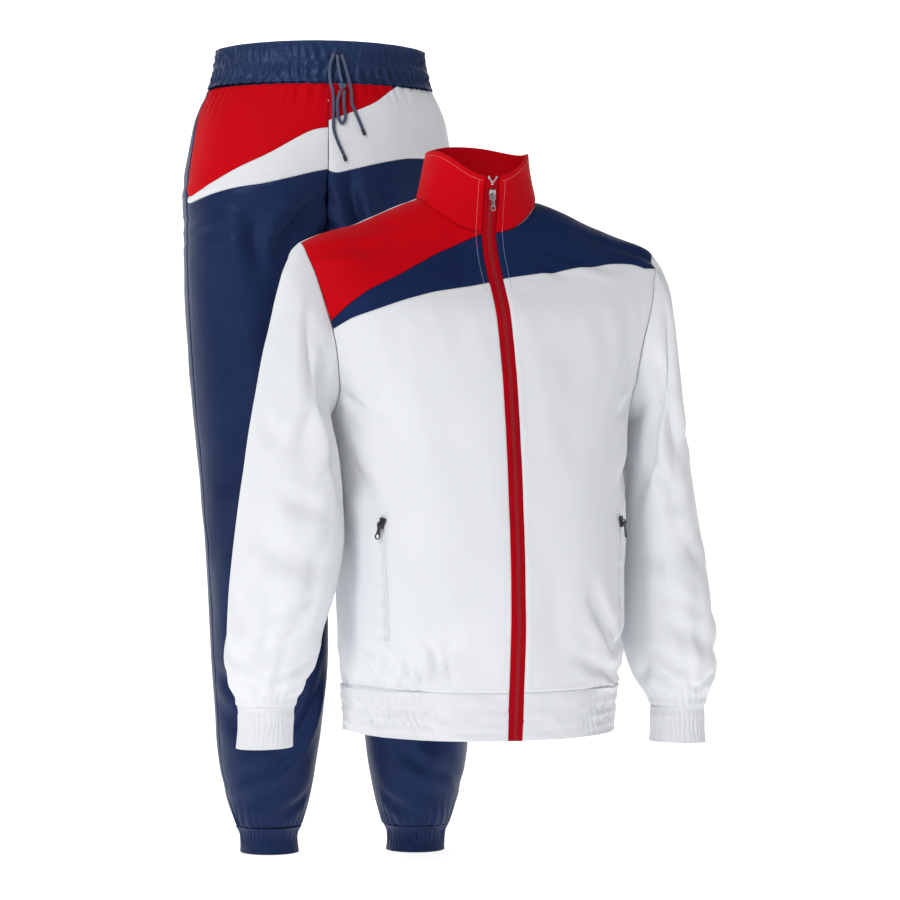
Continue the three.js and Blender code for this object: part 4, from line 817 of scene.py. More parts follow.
@dataclass(frozen=True)
class ClothFinish:
    """A knitted polyester cloth: two tones of one colour, satin gloss, fine knit and soft crumple."""

    name: str
    light: tuple[float, float, float]
    deep: tuple[float, float, float]
    gloss: float = 0.5
    sheen: float = 0.1
    shine: float = 0.2
    knit: float = 0.00004
    crumple: float = 0.0007
    crumple_size: float = 22.0

    def make(self, effects: SharedEffects) -> bpy.types.Material:
        """Builds the material.

        Args:
            effects: the shared node groups.

        Returns:
            The material.
        """
        material = bpy.data.materials.new(self.name)
        material.use_nodes = True
        nodes = Nodes(material.node_tree)
        shader = material.node_tree.nodes["Principled BSDF"]
        shader.inputs["Sheen Weight"].default_value = self.sheen
        shader.inputs["Sheen Roughness"].default_value = 0.4
        shader.inputs["Specular IOR Level"].default_value = self.shine
        strongest = max(self.light)
        shader.inputs["Specular Tint"].default_value = (
            *(0.25 + 0.75 * v / strongest for v in self.light), 1
        )
        knit = nodes.add("ShaderNodeGroup", node_tree=effects.knit)
        crumple = nodes.add("ShaderNodeGroup", node_tree=effects.crumple)
        crumple.inputs["Size"].default_value = self.crumple_size
        patches = crumple.outputs["Tone"]
        tone = nodes.add("ShaderNodeMapRange", {0: patches, 1: 0.3, 2: 0.7, 3: 0.0, 4: 1.0}).outputs[0]
        colour = nodes.mix(tone, (*self.light, 1), (*self.deep, 1))
        rough = nodes.add(
            "ShaderNodeMapRange", {0: tone, 1: 0.0, 2: 1.0, 3: self.gloss - 0.05, 4: self.gloss + 0.07}
        )
        weave = nodes.add(
            "ShaderNodeBump", {"Strength": 0.55, "Distance": self.knit, "Height": knit.outputs[0]}
        )
        soft = nodes.add("ShaderNodeBump", {
            "Strength": 0.8, "Distance": self.crumple, "Height": crumple.outputs["Height"],
            "Normal": weave.outputs[0],
        })
        links = material.node_tree.links
        links.new(colour, shader.inputs["Base Color"])
        links.new(rough.outputs[0], shader.inputs["Roughness"])
        links.new(soft.outputs[0], shader.inputs["Normal"])
        return material


@dataclass(frozen=True)
class MetalFinish:
    """Cast and polished metal, or painted metal, with fine handling marks."""

    name: str
    colour: tuple[float, float, float]
    worn: tuple[float, float, float]
    metallic: float
    gloss: float

    def make(self) -> bpy.types.Material:
        """Builds the material."""
        material = bpy.data.materials.new(self.name)
        material.use_nodes = True
        nodes = Nodes(material.node_tree)
        shader = material.node_tree.nodes["Principled BSDF"]
        shader.inputs["Metallic"].default_value = self.metallic
        place = nodes.add("ShaderNodeTexCoord").outputs["Object"]
        marks = nodes.add("ShaderNodeTexNoise", {"Vector": place, "Scale": 900.0, "Detail": 4.0}).outputs[
            "Fac"
        ]
        share = nodes.add("ShaderNodeMapRange", {0: marks, 1: 0.45, 2: 0.75, 3: 0.0, 4: 1.0}).outputs[0]
        rough = nodes.add(
            "ShaderNodeMapRange", {0: marks, 1: 0.3, 2: 0.7, 3: self.gloss, 4: self.gloss + 0.18}
        )
        bump = nodes.add("ShaderNodeBump", {"Strength": 0.25, "Distance": 0.0001, "Height": marks})
        links = material.node_tree.links
        links.new(nodes.mix(share, (*self.colour, 1), (*self.worn, 1)), shader.inputs["Base Color"])
        links.new(rough.outputs[0], shader.inputs["Roughness"])
        links.new(bump.outputs[0], shader.inputs["Normal"])
        return material


@dataclass(frozen=True)
class BraidFinish:
    """Braided cord or thread: slanting strands on the tube's own UV map, with painted shade in the grooves
    between them and a darker colour towards the cord's lower ends.
    """

    name: str
    light: tuple[float, float, float]
    deep: tuple[float, float, float]
    strands: float = 640.0

    def make(self) -> bpy.types.Material:
        """Builds the material."""
        material = bpy.data.materials.new(self.name)
        material.use_nodes = True
        nodes = Nodes(material.node_tree)
        shader = material.node_tree.nodes["Principled BSDF"]
        shader.inputs["Sheen Weight"].default_value = 0.15
        uv = nodes.add("ShaderNodeUVMap", uv_map="cloth").outputs[0]
        axes = nodes.add("ShaderNodeSeparateXYZ", {0: uv}).outputs
        waves = []
        for sign in (1, -1):
            slant = nodes.math("ADD", axes[1], nodes.math("MULTIPLY", axes[0], 0.9 * sign))
            waves.append(nodes.math("SINE", nodes.math("MULTIPLY", slant, self.strands * 2 * math.pi)))
        height = nodes.math("MAXIMUM", *waves)
        # The raised strands take the light colour and the grooves between them the deep one: painted shade in
        # the grooves.
        strand = nodes.add("ShaderNodeMapRange", {0: height, 1: -0.4, 2: 1.0, 3: 0.0, 4: 1.0}).outputs[0]
        # From 170 mm down to 90 mm in height the light colour gives way to the deep one, so the cord is darker
        # towards its lower ends.
        place = nodes.add("ShaderNodeTexCoord").outputs["Object"]
        level = nodes.add("ShaderNodeSeparateXYZ", {0: place}).outputs[2]
        dimmed_below = nodes.add("ShaderNodeMapRange", {0: level, 1: 0.09, 2: 0.17, 3: 0.12, 4: 1.0}).outputs[0]
        share = nodes.math("MULTIPLY", strand, dimmed_below)
        bump = nodes.add("ShaderNodeBump", {"Strength": 0.8, "Distance": 0.0003, "Height": height})
        rough = nodes.add("ShaderNodeMapRange", {0: share, 1: 0.0, 2: 1.0, 3: 0.72, 4: 0.5})
        links = material.node_tree.links
        links.new(nodes.mix(share, (*self.deep, 1), (*self.light, 1)), shader.inputs["Base Color"])
        links.new(rough.outputs[0], shader.inputs["Roughness"])
        links.new(bump.outputs[0], shader.inputs["Normal"])
        return material


@dataclass(frozen=True)
class ThreadFinish:
    """Sewing thread or moulded teeth: one colour with a slight change from stitch to stitch."""

    name: str
    light: tuple[float, float, float]
    deep: tuple[float, float, float]
    gloss: float = 0.45
    metallic: float = 0.0

    def make(self) -> bpy.types.Material:
        """Builds the material."""
        material = bpy.data.materials.new(self.name)
        material.use_nodes = True
        nodes = Nodes(material.node_tree)
        shader = material.node_tree.nodes["Principled BSDF"]
        shader.inputs["Metallic"].default_value = self.metallic
        place = nodes.add("ShaderNodeTexCoord").outputs["Object"]
        grain = nodes.add("ShaderNodeTexNoise", {"Vector": place, "Scale": 420.0, "Detail": 2.0}).outputs[
            "Fac"
        ]
        share = nodes.add("ShaderNodeMapRange", {0: grain, 1: 0.35, 2: 0.65, 3: 0.0, 4: 1.0}).outputs[0]
        rough = nodes.add(
            "ShaderNodeMapRange", {0: grain, 1: 0.3, 2: 0.7, 3: self.gloss, 4: self.gloss + 0.15}
        )
        links = material.node_tree.links
        links.new(nodes.mix(share, (*self.light, 1), (*self.deep, 1)), shader.inputs["Base Color"])
        links.new(rough.outputs[0], shader.inputs["Roughness"])
        return material


class Wardrobe:
    """Every finish of the set, by slot, and the threads and teeth."""

    def __init__(self) -> None:
        """Builds the materials."""
        effects = SharedEffects()
        red, deep_red = (0.60, 0.0016, 0.0075), (0.50, 0.0012, 0.006)
        navy, deep_navy = (0.009, 0.022, 0.08), (0.007, 0.017, 0.064)
        cloths = {
            Slot.WHITE: ClothFinish("white_cloth", (0.785, 0.795, 0.82), (0.755, 0.767, 0.798), 0.5, 0.05),
            Slot.RIB: ClothFinish(
                "white_rib", (0.785, 0.793, 0.815), (0.735, 0.747, 0.785), 0.55, 0.05,
                crumple=0.0012, crumple_size=70,
            ),
            Slot.RED: ClothFinish("red_cloth", red, deep_red, 0.6, 0.0, 0.12),
            Slot.NAVY: ClothFinish("navy_cloth", navy, deep_navy, 0.5, 0.0, 0.15),
            Slot.LEGS: ClothFinish(
                "trouser_cloth", (0.0095, 0.021, 0.07), (0.007, 0.015, 0.054), 0.42, 0.02, 0.34
            ),
            Slot.WAIST: ClothFinish(
                "waist_elastic", (0.015, 0.031, 0.09), (0.009, 0.019, 0.06), 0.36, 0.03, 0.45,
                crumple=0.0012, crumple_size=60,
            ),
            Slot.TAPE: ClothFinish(
                "zip_tape", (0.44, 0.0018, 0.009), (0.37, 0.0014, 0.007), 0.65, 0.0, 0.1, knit=0.00012
            ),
            Slot.POCKET_TAPE: ClothFinish(
                "pocket_tape", (0.76, 0.77, 0.80), (0.70, 0.712, 0.75), 0.55, 0.03, knit=0.00008
            ),
        }
        self.slots = {slot: finish.make(effects) for slot, finish in cloths.items()}
        others = {
            Slot.METAL: MetalFinish("zip_metal", (0.4, 0.4, 0.42), (0.27, 0.27, 0.29), 1.0, 0.2),
            Slot.DARK: MetalFinish("dark_metal", (0.035, 0.037, 0.042), (0.12, 0.12, 0.13), 0.6, 0.3),
            Slot.CORD: BraidFinish("drawstring", (0.11, 0.15, 0.27), (0.035, 0.05, 0.11)),
            Slot.TIP: BraidFinish("drawstring_tip", (0.05, 0.06, 0.1), (0.012, 0.015, 0.03), 900),
        }
        self.slots.update({slot: finish.make() for slot, finish in others.items()})
        self.white_thread = ThreadFinish("white_thread", (0.85, 0.86, 0.9), (0.7, 0.72, 0.78)).make()
        self.pink_thread = ThreadFinish("pale_red_thread", (0.86, 0.26, 0.28), (0.74, 0.13, 0.15)).make()
        self.blue_thread = ThreadFinish("pale_blue_thread", (0.38, 0.48, 0.72), (0.25, 0.34, 0.58)).make()
        self.navy_thread = ThreadFinish("navy_thread", (0.03, 0.05, 0.15), (0.015, 0.03, 0.1)).make()
        self.red_teeth = ThreadFinish("red_teeth", (0.42, 0.002, 0.009), (0.34, 0.0016, 0.007), 0.6).make()
        self.white_teeth = ThreadFinish("white_teeth", (0.82, 0.83, 0.86), (0.72, 0.73, 0.77), 0.35).make()
        self.steel_teeth = ThreadFinish("steel_teeth", (0.8, 0.8, 0.82), (0.6, 0.6, 0.62), 0.2, 1.0).make()


def dress(
    obj: bpy.types.Object, material: bpy.types.Material, body: str = "cloth",
    nodes: Sequence[str] = (),
) -> bpy.types.Object:
    """Gives a piece its material, its body and what it stands for, and reports it."""
    obj.data.materials.clear()
    obj.data.materials.append(material)
    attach(obj, body)
    if nodes:
        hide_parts(*nodes)
    log.info("%s: %d faces", obj.name, len(obj.data.polygons))
    return obj


@dataclass(frozen=True)
class Cut:
    """Flat cut of a cloth piece in metres, and its area where it isn't a rectangle."""

    width: float
    length: float
    area: float | None = None


class Repeat(Enum):
    """What is set along a path."""

    STITCH = "stitch"
    TOOTH = "tooth"


@dataclass(frozen=True)
class Row:
    """A row of stitches or teeth along a path: spacing and size of one, in millimetres."""

    kind: Repeat
    pitch: float
    length: float
    width: float
    height: float

    def tree(self, material: bpy.types.Material) -> bpy.types.NodeTree:
        """Geometry node tree that sets the pieces along the path.

        Args:
            material: the finish of the pieces.

        Returns:
            The tree, with named inputs for its sizes.
        """
        tree = bpy.data.node_groups.new(f"{self.kind.value}_row", "GeometryNodeTree")
        tree.interface.new_socket("Path", in_out="INPUT", socket_type="NodeSocketGeometry")
        for label in ("Pitch", "Length", "Width", "Height"):
            tree.interface.new_socket(label, in_out="INPUT", socket_type="NodeSocketFloat")
        tree.interface.new_socket("Geometry", in_out="OUTPUT", socket_type="NodeSocketGeometry")
        nodes = Nodes(tree)
        ins, outs = nodes.add("NodeGroupInput").outputs, nodes.add("NodeGroupOutput")
        curve = nodes.add("GeometryNodeMeshToCurve", {0: ins["Path"]})
        spaced = nodes.add(
            "GeometryNodeResampleCurve", {"Curve": curve.outputs[0], "Length": ins["Pitch"]}, mode="LENGTH"
        )
        axes = {0: ins["Width"], 1: ins["Length"], 2: ins["Height"]}
        size = nodes.add("ShaderNodeCombineXYZ", axes).outputs[0]
        segments, radius = (6, 0.5) if self.kind is Repeat.STITCH else (8, 0.56)
        ball = {"Segments": segments, "Rings": 4, "Radius": radius}
        shape = nodes.add("GeometryNodeMeshUVSphere", ball).outputs[0]
        sized = nodes.add("GeometryNodeTransform", {"Geometry": shape, "Scale": size}).outputs[0]
        out = nodes.add("GeometryNodeInputNamedAttribute", {"Name": "out"}, data_type="FLOAT_VECTOR").outputs[0]
        tangent = nodes.add("GeometryNodeInputTangent").outputs[0]
        upright = nodes.add("FunctionNodeAlignRotationToVector", {"Vector": out}, axis="Z")
        turned = nodes.add(
            "FunctionNodeAlignRotationToVector", {"Rotation": upright.outputs[0], "Vector": tangent},
            axis="Y", pivot_axis="Z",
        )
        copies = nodes.add(
            "GeometryNodeInstanceOnPoints", {
                "Points": spaced.outputs[0], "Instance": sized, "Rotation": turned.outputs[0]
            }
        )
        real = nodes.add("GeometryNodeRealizeInstances", {0: copies.outputs[0]})
        done = nodes.add("GeometryNodeSetMaterial", {"Geometry": real.outputs[0], "Material": material})
        tree.links.new(done.outputs[0], outs.inputs[0])
        return tree

    def lay(
        self, name: str, paths: Sequence[tuple[Array, Array]], material: bpy.types.Material, placing: Placing
    ) -> bpy.types.Object:
        """Lays the row along paths and makes a plain mesh of it.

        Args:
            name: the piece's name.
            paths: points in millimetres and outward directions, one pair for each path.
            material: the finish.
            placing: where the garment stands.

        Returns:
            The object.
        """
        points, outs, edges = [], [], []
        for path, out in paths:
            start = sum(len(p) for p in points)
            points.append(placing.apply(path))
            outs.append(placing.directions(out))
            edges += [(start + k, start + k + 1) for k in range(len(path) - 1)]
        mesh = bpy.data.meshes.new(name + "_path")
        mesh.from_pydata(np.concatenate(points).tolist(), edges, [])
        attribute = mesh.attributes.new("out", "FLOAT_VECTOR", "POINT")
        attribute.data.foreach_set("vector", np.concatenate(outs).astype(np.float32).ravel())
        carrier = bpy.data.objects.new(name + "_path", mesh)
        bpy.context.scene.collection.objects.link(carrier)
        modifier = carrier.modifiers.new("row", "NODES")
        modifier.node_group = self.tree(material)
        sizes = {"Pitch": self.pitch, "Length": self.length, "Width": self.width, "Height": self.height}
        for item in modifier.node_group.interface.items_tree:
            if item.item_type == "SOCKET" and item.in_out == "INPUT" and item.name in sizes:
                modifier[item.identifier] = sizes[item.name] * MM
        evaluated = carrier.evaluated_get(bpy.context.evaluated_depsgraph_get())
        result = bpy.data.meshes.new_from_object(evaluated)
        result.name = name
        bpy.data.objects.remove(carrier)
        result.shade_smooth()
        obj = bpy.data.objects.new(name, result)
        bpy.context.scene.collection.objects.link(obj)
        return obj


TOPSTITCH = Row(Repeat.STITCH, pitch=3.1, length=2.4, width=0.8, height=0.5)
COIL = Row(Repeat.TOOTH, pitch=1.7, length=1.25, width=3.4, height=1.1)
FINE_COIL = Row(Repeat.TOOTH, pitch=1.5, length=1.1, width=2.4, height=0.9)


@dataclass(frozen=True)
class SliderSizes:
    """A zip slider with its pull tab."""

    width: float
    height: float
    depth: float
    axis_out: float
    pull_width: float
    pull_length: float


FRONT_SLIDER = SliderSizes(8, 13, 3.2, 2.4, 6.5, 19)
POCKET_SLIDER = SliderSizes(8, 13, 3, 2.4, 7.5, 20)
LIFT = 0.35
PULL_THICK = 1.4
LUG_OUTER = 2.3
LUG_WIDTH = 2.0


def curve_plate(name: str, outlines: Sequence[Array], thick: float, bevel: float) -> bpy.types.Mesh:
    """Flat plate with holes and rounded edges, lying in XY about z = 0, in metres.

    Args:
        name: name of the mesh.
        outlines: closed outlines in millimetres, the holes after the rim.
        thick: thickness.
        bevel: radius of the rounded edges.

    Returns:
        The mesh.
    """
    curve = bpy.data.curves.new(name, "CURVE")
    curve.dimensions, curve.fill_mode = "2D", "BOTH"
    curve.extrude, curve.bevel_depth, curve.bevel_resolution = (thick / 2 - bevel) * MM, bevel * MM, 2
    curve.offset = -bevel * MM
    for outline in outlines:
        spline = curve.splines.new("POLY")
        spline.points.add(len(outline) - 1)
        for point, (x, y) in zip(spline.points, outline):
            point.co = (x * MM, y * MM, 0, 1)
        spline.use_cyclic_u = True
    holder = bpy.data.objects.new(name, curve)
    bpy.context.scene.collection.objects.link(holder)
    mesh = bpy.data.meshes.new_from_object(holder.evaluated_get(bpy.context.evaluated_depsgraph_get()))
    bpy.data.objects.remove(holder)
    return mesh


def arc(x: float, y: float, radius: float, start: float, end: float, count: int = 10) -> Array:
    """Points of an arc, angles in degrees."""
    turns = np.radians(np.linspace(start, end, count + 1))
    return np.stack([x + radius * np.cos(turns), y + radius * np.sin(turns)], -1)


def joined_object(name: str, parts: Sequence[bpy.types.Mesh]) -> bpy.types.Object:
    """One object from several meshes, merged and turned the right way out."""
    work = bmesh.new()
    for part in parts:
        work.from_mesh(part)
    bmesh.ops.remove_doubles(work, verts=work.verts, dist=1e-6)
    bmesh.ops.recalc_face_normals(work, faces=work.faces)
    mesh = bpy.data.meshes.new(name)
    work.to_mesh(mesh)
    work.free()
    mesh.shade_smooth()
    mesh.set_sharp_from_angle(angle=math.radians(40))
    obj = bpy.data.objects.new(name, mesh)
    bpy.context.scene.collection.objects.link(obj)
    return obj


@dataclass(frozen=True)
class ZipSlider:
    """Slider on a zip at a place on the cloth, with the pull tab that hangs from its eye."""

    sizes: SliderSizes
    at: Array
    up: Array
    out: Array
    leans: bool = False

    def basis(self, origin: Array, across: Array, up: Array, out: Array) -> Matrix:
        """Matrix from the part's own axes to the frame."""
        matrix = Matrix.Identity(4)
        for k, axis in enumerate((across, up, out)):
            for j in range(3):
                matrix[j][k] = float(axis[j])
        matrix.translation = Vector([float(v) * MM for v in origin])
        return matrix

    def make_slider(self, name: str) -> bpy.types.Object:
        """Slider body with shoulders, a waist and an arched eye."""
        s = self.sizes
        w, h = s.width / 2, s.height / 2
        right = [(0.62 * w, -h), (0.72 * w, -0.4 * h), (0.98 * w, 0.25 * h), (w, 0.62 * h), (0.9 * w, 0.9 * h),
                 (0.62 * w, h), (0.25 * w, h)]
        rim = np.array([*right, (0, 0.8 * h), *[(-x, y) for x, y in reversed(right)]])
        plates = []
        for k, z in enumerate((0.22 * s.depth, 0.78 * s.depth)):
            plate = curve_plate(f"{name}_plate_{k}", [rim], 0.42 * s.depth, 0.3)
            plate.transform(Matrix.Translation((0, 0, z * MM)))
            plates.append(plate)
        core = curve_plate(name + "_core", [rim * np.array([0.45, 0.8])], 0.3 * s.depth, 0.1)
        core.transform(Matrix.Translation((0, 0, 0.5 * s.depth * MM)))
        plates.append(core)
        axis = s.depth + s.axis_out
        ends = np.concatenate([
            [[0, -3.4, s.depth - 0.6], [0, -3.1, s.depth + 0.5]],
            np.stack([np.zeros(9), 2.5 * np.cos(np.radians(np.linspace(205, -25, 9))),
                      axis - 0.35 + 2.0 * np.sin(np.radians(np.linspace(205, -25, 9)))], -1),
            [[0, 3.1, s.depth + 0.5], [0, 3.4, s.depth - 0.6]],
        ])
        eye = tube_mesh(name + "_eye", ends * MM, 0.62 * MM, 10)
        eye_mesh = eye.data
        bpy.data.objects.remove(eye)
        across = unit(np.cross(self.up, self.out))
        matrix = self.basis(self.at + self.out * LIFT, across, self.up, self.out)
        for part in (*plates, eye_mesh):
            part.transform(matrix)
        return joined_object(name, [*plates, eye_mesh])

    def make_pull(self, name: str) -> bpy.types.Object:
        """Pull tab: a window for the eye above and a ring below, hanging down or in line with the slider."""
        s = self.sizes
        half, foot = s.pull_width / 2, -s.pull_length
        waist = half * 0.62
        rim = np.concatenate([
            [(-half, 0.75), (-half, -4.2), (-waist, -6.4), (-waist, foot + 2 * half + 1.4)],
            arc(0, foot + half, half, 150, 390, 18), [
                (waist, foot + 2 * half + 1.4), (waist, -6.4), (half, -4.2), (half, 0.75)
            ],
        ])
        window = LUG_WIDTH / 2 + 0.4
        hole = np.array(
            [(-window, -0.75), (-window, -LUG_OUTER - 0.6), (window, -LUG_OUTER - 0.6), (window, -0.75)]
        )
        ring = arc(0, foot + half, half - 1.3, 0, 360, 18)[:-1]
        plate = curve_plate(name, [rim, hole, ring], PULL_THICK, 0.28)
        plate.transform(Matrix.Rotation(math.pi / 2, 4, "X"))
        origin = self.at + self.out * (LIFT + s.depth + s.axis_out)
        if self.leans:
            place = self.basis(origin, unit(np.cross(self.up, self.out)), -self.out, self.up)
        else:
            place = Matrix.Rotation(math.atan2(self.out[0], -self.out[1]), 4, "Z")
            place.translation = Vector([float(v) * MM for v in origin])
        plate.transform(place)
        return joined_object(name, [plate])


POCKET_AROUND, POCKET_TOP, POCKET_FOOT, POCKET_WIDTH, POCKET_THICK = 53.5, -379.0, -527.0, 9.0, 1.2
POCKET_SLIDER_Z, POCKET_LEAN = -388.0, 16.0
BODY_RADIUS = 172.0  # length of one radian round the jacket's body
ZIP_SLIDER_ROW = NECK + 1.42
BACK_STEPS, SIDE_ROWS, SHOULDER_STEPS, NECK_STEPS, BACK_ACROSS = 8, 8, 3, 8, 14
UPPER_STEPS, LOWER_STEPS, INSERT_STEPS = 4, 5, 3
FINE = 12  # places on each edge for each step of the solids


HEM_ELASTIC = (14.0, 28.0, 42.0)  # heights of the elastic rows above the hem's edge


@dataclass
class Jacket:
    """Zipped jacket with stand collar: panels, sleeves, bands, zips and stitching."""

    finishes: Wardrobe
    armhole_front: float = -56.0
    armhole_back: float = 60.0
    armhole_low: float = 0.16
    sleeve_clear: float = 0.1
    body: Rings = field(default_factory=lambda: Rings(BODY))
    collar: Rings = field(default_factory=lambda: Rings(COLLAR, 0.5))

    def relief(self, around: Array, base: Array) -> Array:
        """Outward height of folds, gathers and puckers of the body's cloth."""
        turned = (around + 180) % 360 - 180
        z = base[..., 2]
        height = 1.7 * fold_relief(BODY_FOLDS, turned, z, 165)
        height += NOISE.at(base, (46, 46, 190)) * 2.4 + NOISE.at(base + 500, (20, 20, 60)) * 0.9
        low_down = 1 - smooth(z, -585, -470)
        crumples = NOISE.at(base + 700, (16, 16, 15)) * 1.6 + NOISE.at(base + 750, (8, 8, 9)) * 0.7
        height += low_down * crumples * side_share(turned)
        arc_mm = np.radians(turned) * BODY_RADIUS
        side = smooth(np.abs(turned), 28, 44) * (1 - smooth(np.abs(turned), 136, 158))
        above = z + 585
        reach = 24 + 14 * NOISE.at(base + 900, (30, 30, 900))
        near = np.exp(-((above / reach) ** 2)) * (above > -1)
        height -= 3.4 * side * (1 - gather_wave(arc_mm, above * 0.2, 13.0, 1.0)) * near
        height -= 1.4 * side * (1 - gather_wave(arc_mm + 4, above * 0.4, 6.4, 7.0)) * near**2
        beside = np.exp(-(((np.abs(turned) - POCKET_AROUND - 1.5) * 3.0 / 9.5) ** 2))
        slit = smooth(z, POCKET_FOOT - 22, POCKET_FOOT + 14) * (
            1 - smooth(z, POCKET_TOP - 42, POCKET_TOP - 6)
        )
        height += beside * slit * (NOISE.at(base, (13, 13, 6)) * 2.0 + NOISE.at(base + 70, (7, 7, 9)) * 1.0)
        at_zip = np.exp(-((np.abs(base[..., 0]) / 17) ** 2)) * (turned**2 < 3600)
        height += at_zip * NOISE.at(base + 40, (90, 90, 15)) * 0.55
        return height

    def lay(self, grid: Array) -> tuple[Array, Array]:
        """Points and outward directions on the body for places."""
        base, outward = self.body.plain(grid[..., 0], grid[..., 1]), self.body.normal(
            grid[..., 0], grid[..., 1]
        )
        return base + outward * self.relief(grid[..., 0], base)[..., None], outward

    def lay_collar(self, grid: Array) -> tuple[Array, Array]:
        """Points and outward directions on the collar for places."""
        base, outward = self.collar.plain(grid[..., 0], grid[..., 1]), self.collar.normal(
            grid[..., 0], grid[..., 1]
        )
        low = 1 - smooth(grid[..., 1], 0, 0.35)
        height = lerp(NOISE.at(base, (34, 34, 40)) * 0.9, self.relief(grid[..., 0], base), low)
        return base + outward * height[..., None], outward

    def armhole_place(self, turn: Array, side: int) -> Array:
        """Places on the armhole: turn 0 at the shoulder, 90 in front, 180 at the armpit."""
        top, foot = self.body.plain(90, SHOULDER), self.body.plain(90, ARMPIT)
        c, s = np.cos(np.radians(turn)), np.sin(np.radians(turn))
        middle = lerp(foot[1], top[1], (1 + c) / 2)
        reach = np.where(s >= 0, self.armhole_front - middle, self.armhole_back - middle)
        y = middle + reach * np.abs(s) * (1 - self.armhole_low * c)
        z = lerp(foot[2], top[2], (1 + c) / 2)
        t = self.body.row_at_z(z, lambda row: self.body.around_at_y(y, row), ARMPIT - 1, SHOULDER + 1)
        ends = np.abs(s) < 1e-6
        t = np.where(ends, np.where(c > 0, SHOULDER, ARMPIT), t)
        return places(np.where(ends, 90, self.body.around_at_y(y, t)) * side, t)

    def armhole_turn_at(self, z: float) -> float:
        """Turn round the armhole at which its front has height z."""
        turns = np.linspace(0, 180, 721)
        heights = self.body.plain(*np.moveaxis(self.armhole_place(turns, 1), -1, 0))[..., 2]
        return float(np.interp(-z, -heights, turns))

    def seam(self, edge: Array, count: int, start: Array, end: Array) -> Array:
        """Places along a colour seam, from the zip's edge to the armhole."""
        stations = np.linspace(0, len(edge) - 1, count + 1)
        x, z = through(edge[:, 0], stations), through(edge[:, 1], stations)
        t = self.body.row_at_z(z, lambda row: self.side_at(x, row), 0, NECK)
        made = places(self.side_at(x, t), t)
        made[0], made[-1] = start, end
        return made

    def side_at(self, x: Array, t: Array) -> Array:
        """Angle at which the rings have each given x."""
        row = through(self.body.table, t)
        return np.sign(x) * np.degrees(
            np.arcsin(np.minimum(1, np.abs(x) / row[..., 2]) ** (1 / row[..., 7]))
        )

    def zip_edge(self, side: int, rows: Array) -> Array:
        """Places beside the zip."""
        return places(self.body.around_at_x(ZIP_HALF * side, rows), rows)

    def make_panels(self) -> None:
        """Fronts, yokes, insert and back."""
        body, k = self.body, FINE
        red_turn, navy_right, navy_left = (
            self.armhole_turn_at(edge[-1, 1]) for edge in (RED_EDGE, NAVY_EDGE_RIGHT, NAVY_EDGE_LEFT)
        )
        side_seam = {s: places(90.0 * s, steps(HEM_SEAM, ARMPIT, SIDE_ROWS * k)) for s in (-1, 1)}
        up = steps(0, 1, SHOULDER_STEPS * k)
        shoulder = {s: places(lerp(90, SHOULDER_SEAM, up) * s, lerp(SHOULDER, NECK, up)) for s in (-1, 1)}
        zip_at_neck = float(body.around_at_x(ZIP_HALF, NECK))
        neck = {s: places(steps(zip_at_neck, SHOULDER_SEAM, NECK_STEPS * k) * s, NECK) for s in (-1, 1)}

        def arm(start: float, end: float, count: int, s: int) -> Array:
            """Places along the armhole between two turns."""
            return self.armhole_place(steps(start, end, count * k), s)

        def zip_side(s: int, low: float, high: float) -> Array:
            """Places beside the zip between two rows."""
            return self.zip_edge(s, steps(low, high, 40))

        def level(t: int, start: float) -> Array:
            """Places across the back on one row."""
            return places(steps(start, 360 - start, BACK_ACROSS * k), t)

        starts = {}
        for label, edge, s in (
            ("red", RED_EDGE, -1), ("right", NAVY_EDGE_RIGHT, -1), ("left", NAVY_EDGE_LEFT, 1)
        ):
            t = body.row_at_z(
                np.array(edge[0, 1]), lambda row, s=s: body.around_at_x(ZIP_HALF * s, row), 0, NECK
            )
            starts[label] = self.zip_edge(s, t)
        red_seam = self.seam(
            RED_EDGE, NECK_STEPS * k, starts["red"], self.armhole_place(np.array(red_turn), -1)
        )
        right_seam = self.seam(
            NAVY_EDGE_RIGHT, NECK_STEPS * k, starts["right"], self.armhole_place(np.array(navy_right), -1)
        )
        left_seam = self.seam(
            NAVY_EDGE_LEFT, NECK_STEPS * k, starts["left"], self.armhole_place(np.array(navy_left), 1)
        )
        red_end = joined(arm(red_turn, 0, UPPER_STEPS, -1), shoulder[-1])
        left_end = joined(arm(navy_left, 0, UPPER_STEPS - 1, 1), shoulder[1])
        insert_end = arm(navy_right, red_turn, INSERT_STEPS, -1)
        red_zip = zip_side(-1, starts["red"][1], NECK)
        insert_zip = zip_side(-1, starts["right"][1], starts["red"][1])
        left_zip = zip_side(1, starts["left"][1], NECK)
        panels = [
            (Panel("yoke_right_red", red_zip, red_end, red_seam, neck[-1], 46, 60), Slot.RED),
            (Panel("insert_right_navy", insert_zip, insert_end, right_seam, red_seam, 12, 60), Slot.NAVY),
            (Panel("yoke_left_navy", left_zip, left_end, left_seam, neck[1], 40, 60), Slot.NAVY),
        ]
        for name, s, start, top, turn, count in (
            ("jacket_front_right", -1, starts["right"][1], right_seam, navy_right, LOWER_STEPS),
            ("jacket_front_left", 1, starts["left"][1], left_seam, navy_left, LOWER_STEPS + 1),
        ):
            foot = places(
                steps(float(body.around_at_x(ZIP_HALF * s, HEM_SEAM)), 90.0 * s, NECK_STEPS * k), HEM_SEAM
            )
            edge = joined(side_seam[s], arm(180, turn, count, s))
            zip_run, sunk = zip_side(s, HEM_SEAM, start), Dips(right=0.2)
            panels.append((Panel(name, zip_run, edge, foot, top, 138, 62, sunk), Slot.WHITE))
        turn_round = np.array([360.0, 0.0])
        edges = {}
        for s in (1, -1):
            edge = joined(side_seam[s], arm(180, 360, BACK_STEPS, s), shoulder[s])
            edges[s] = edge if s > 0 else edge + turn_round
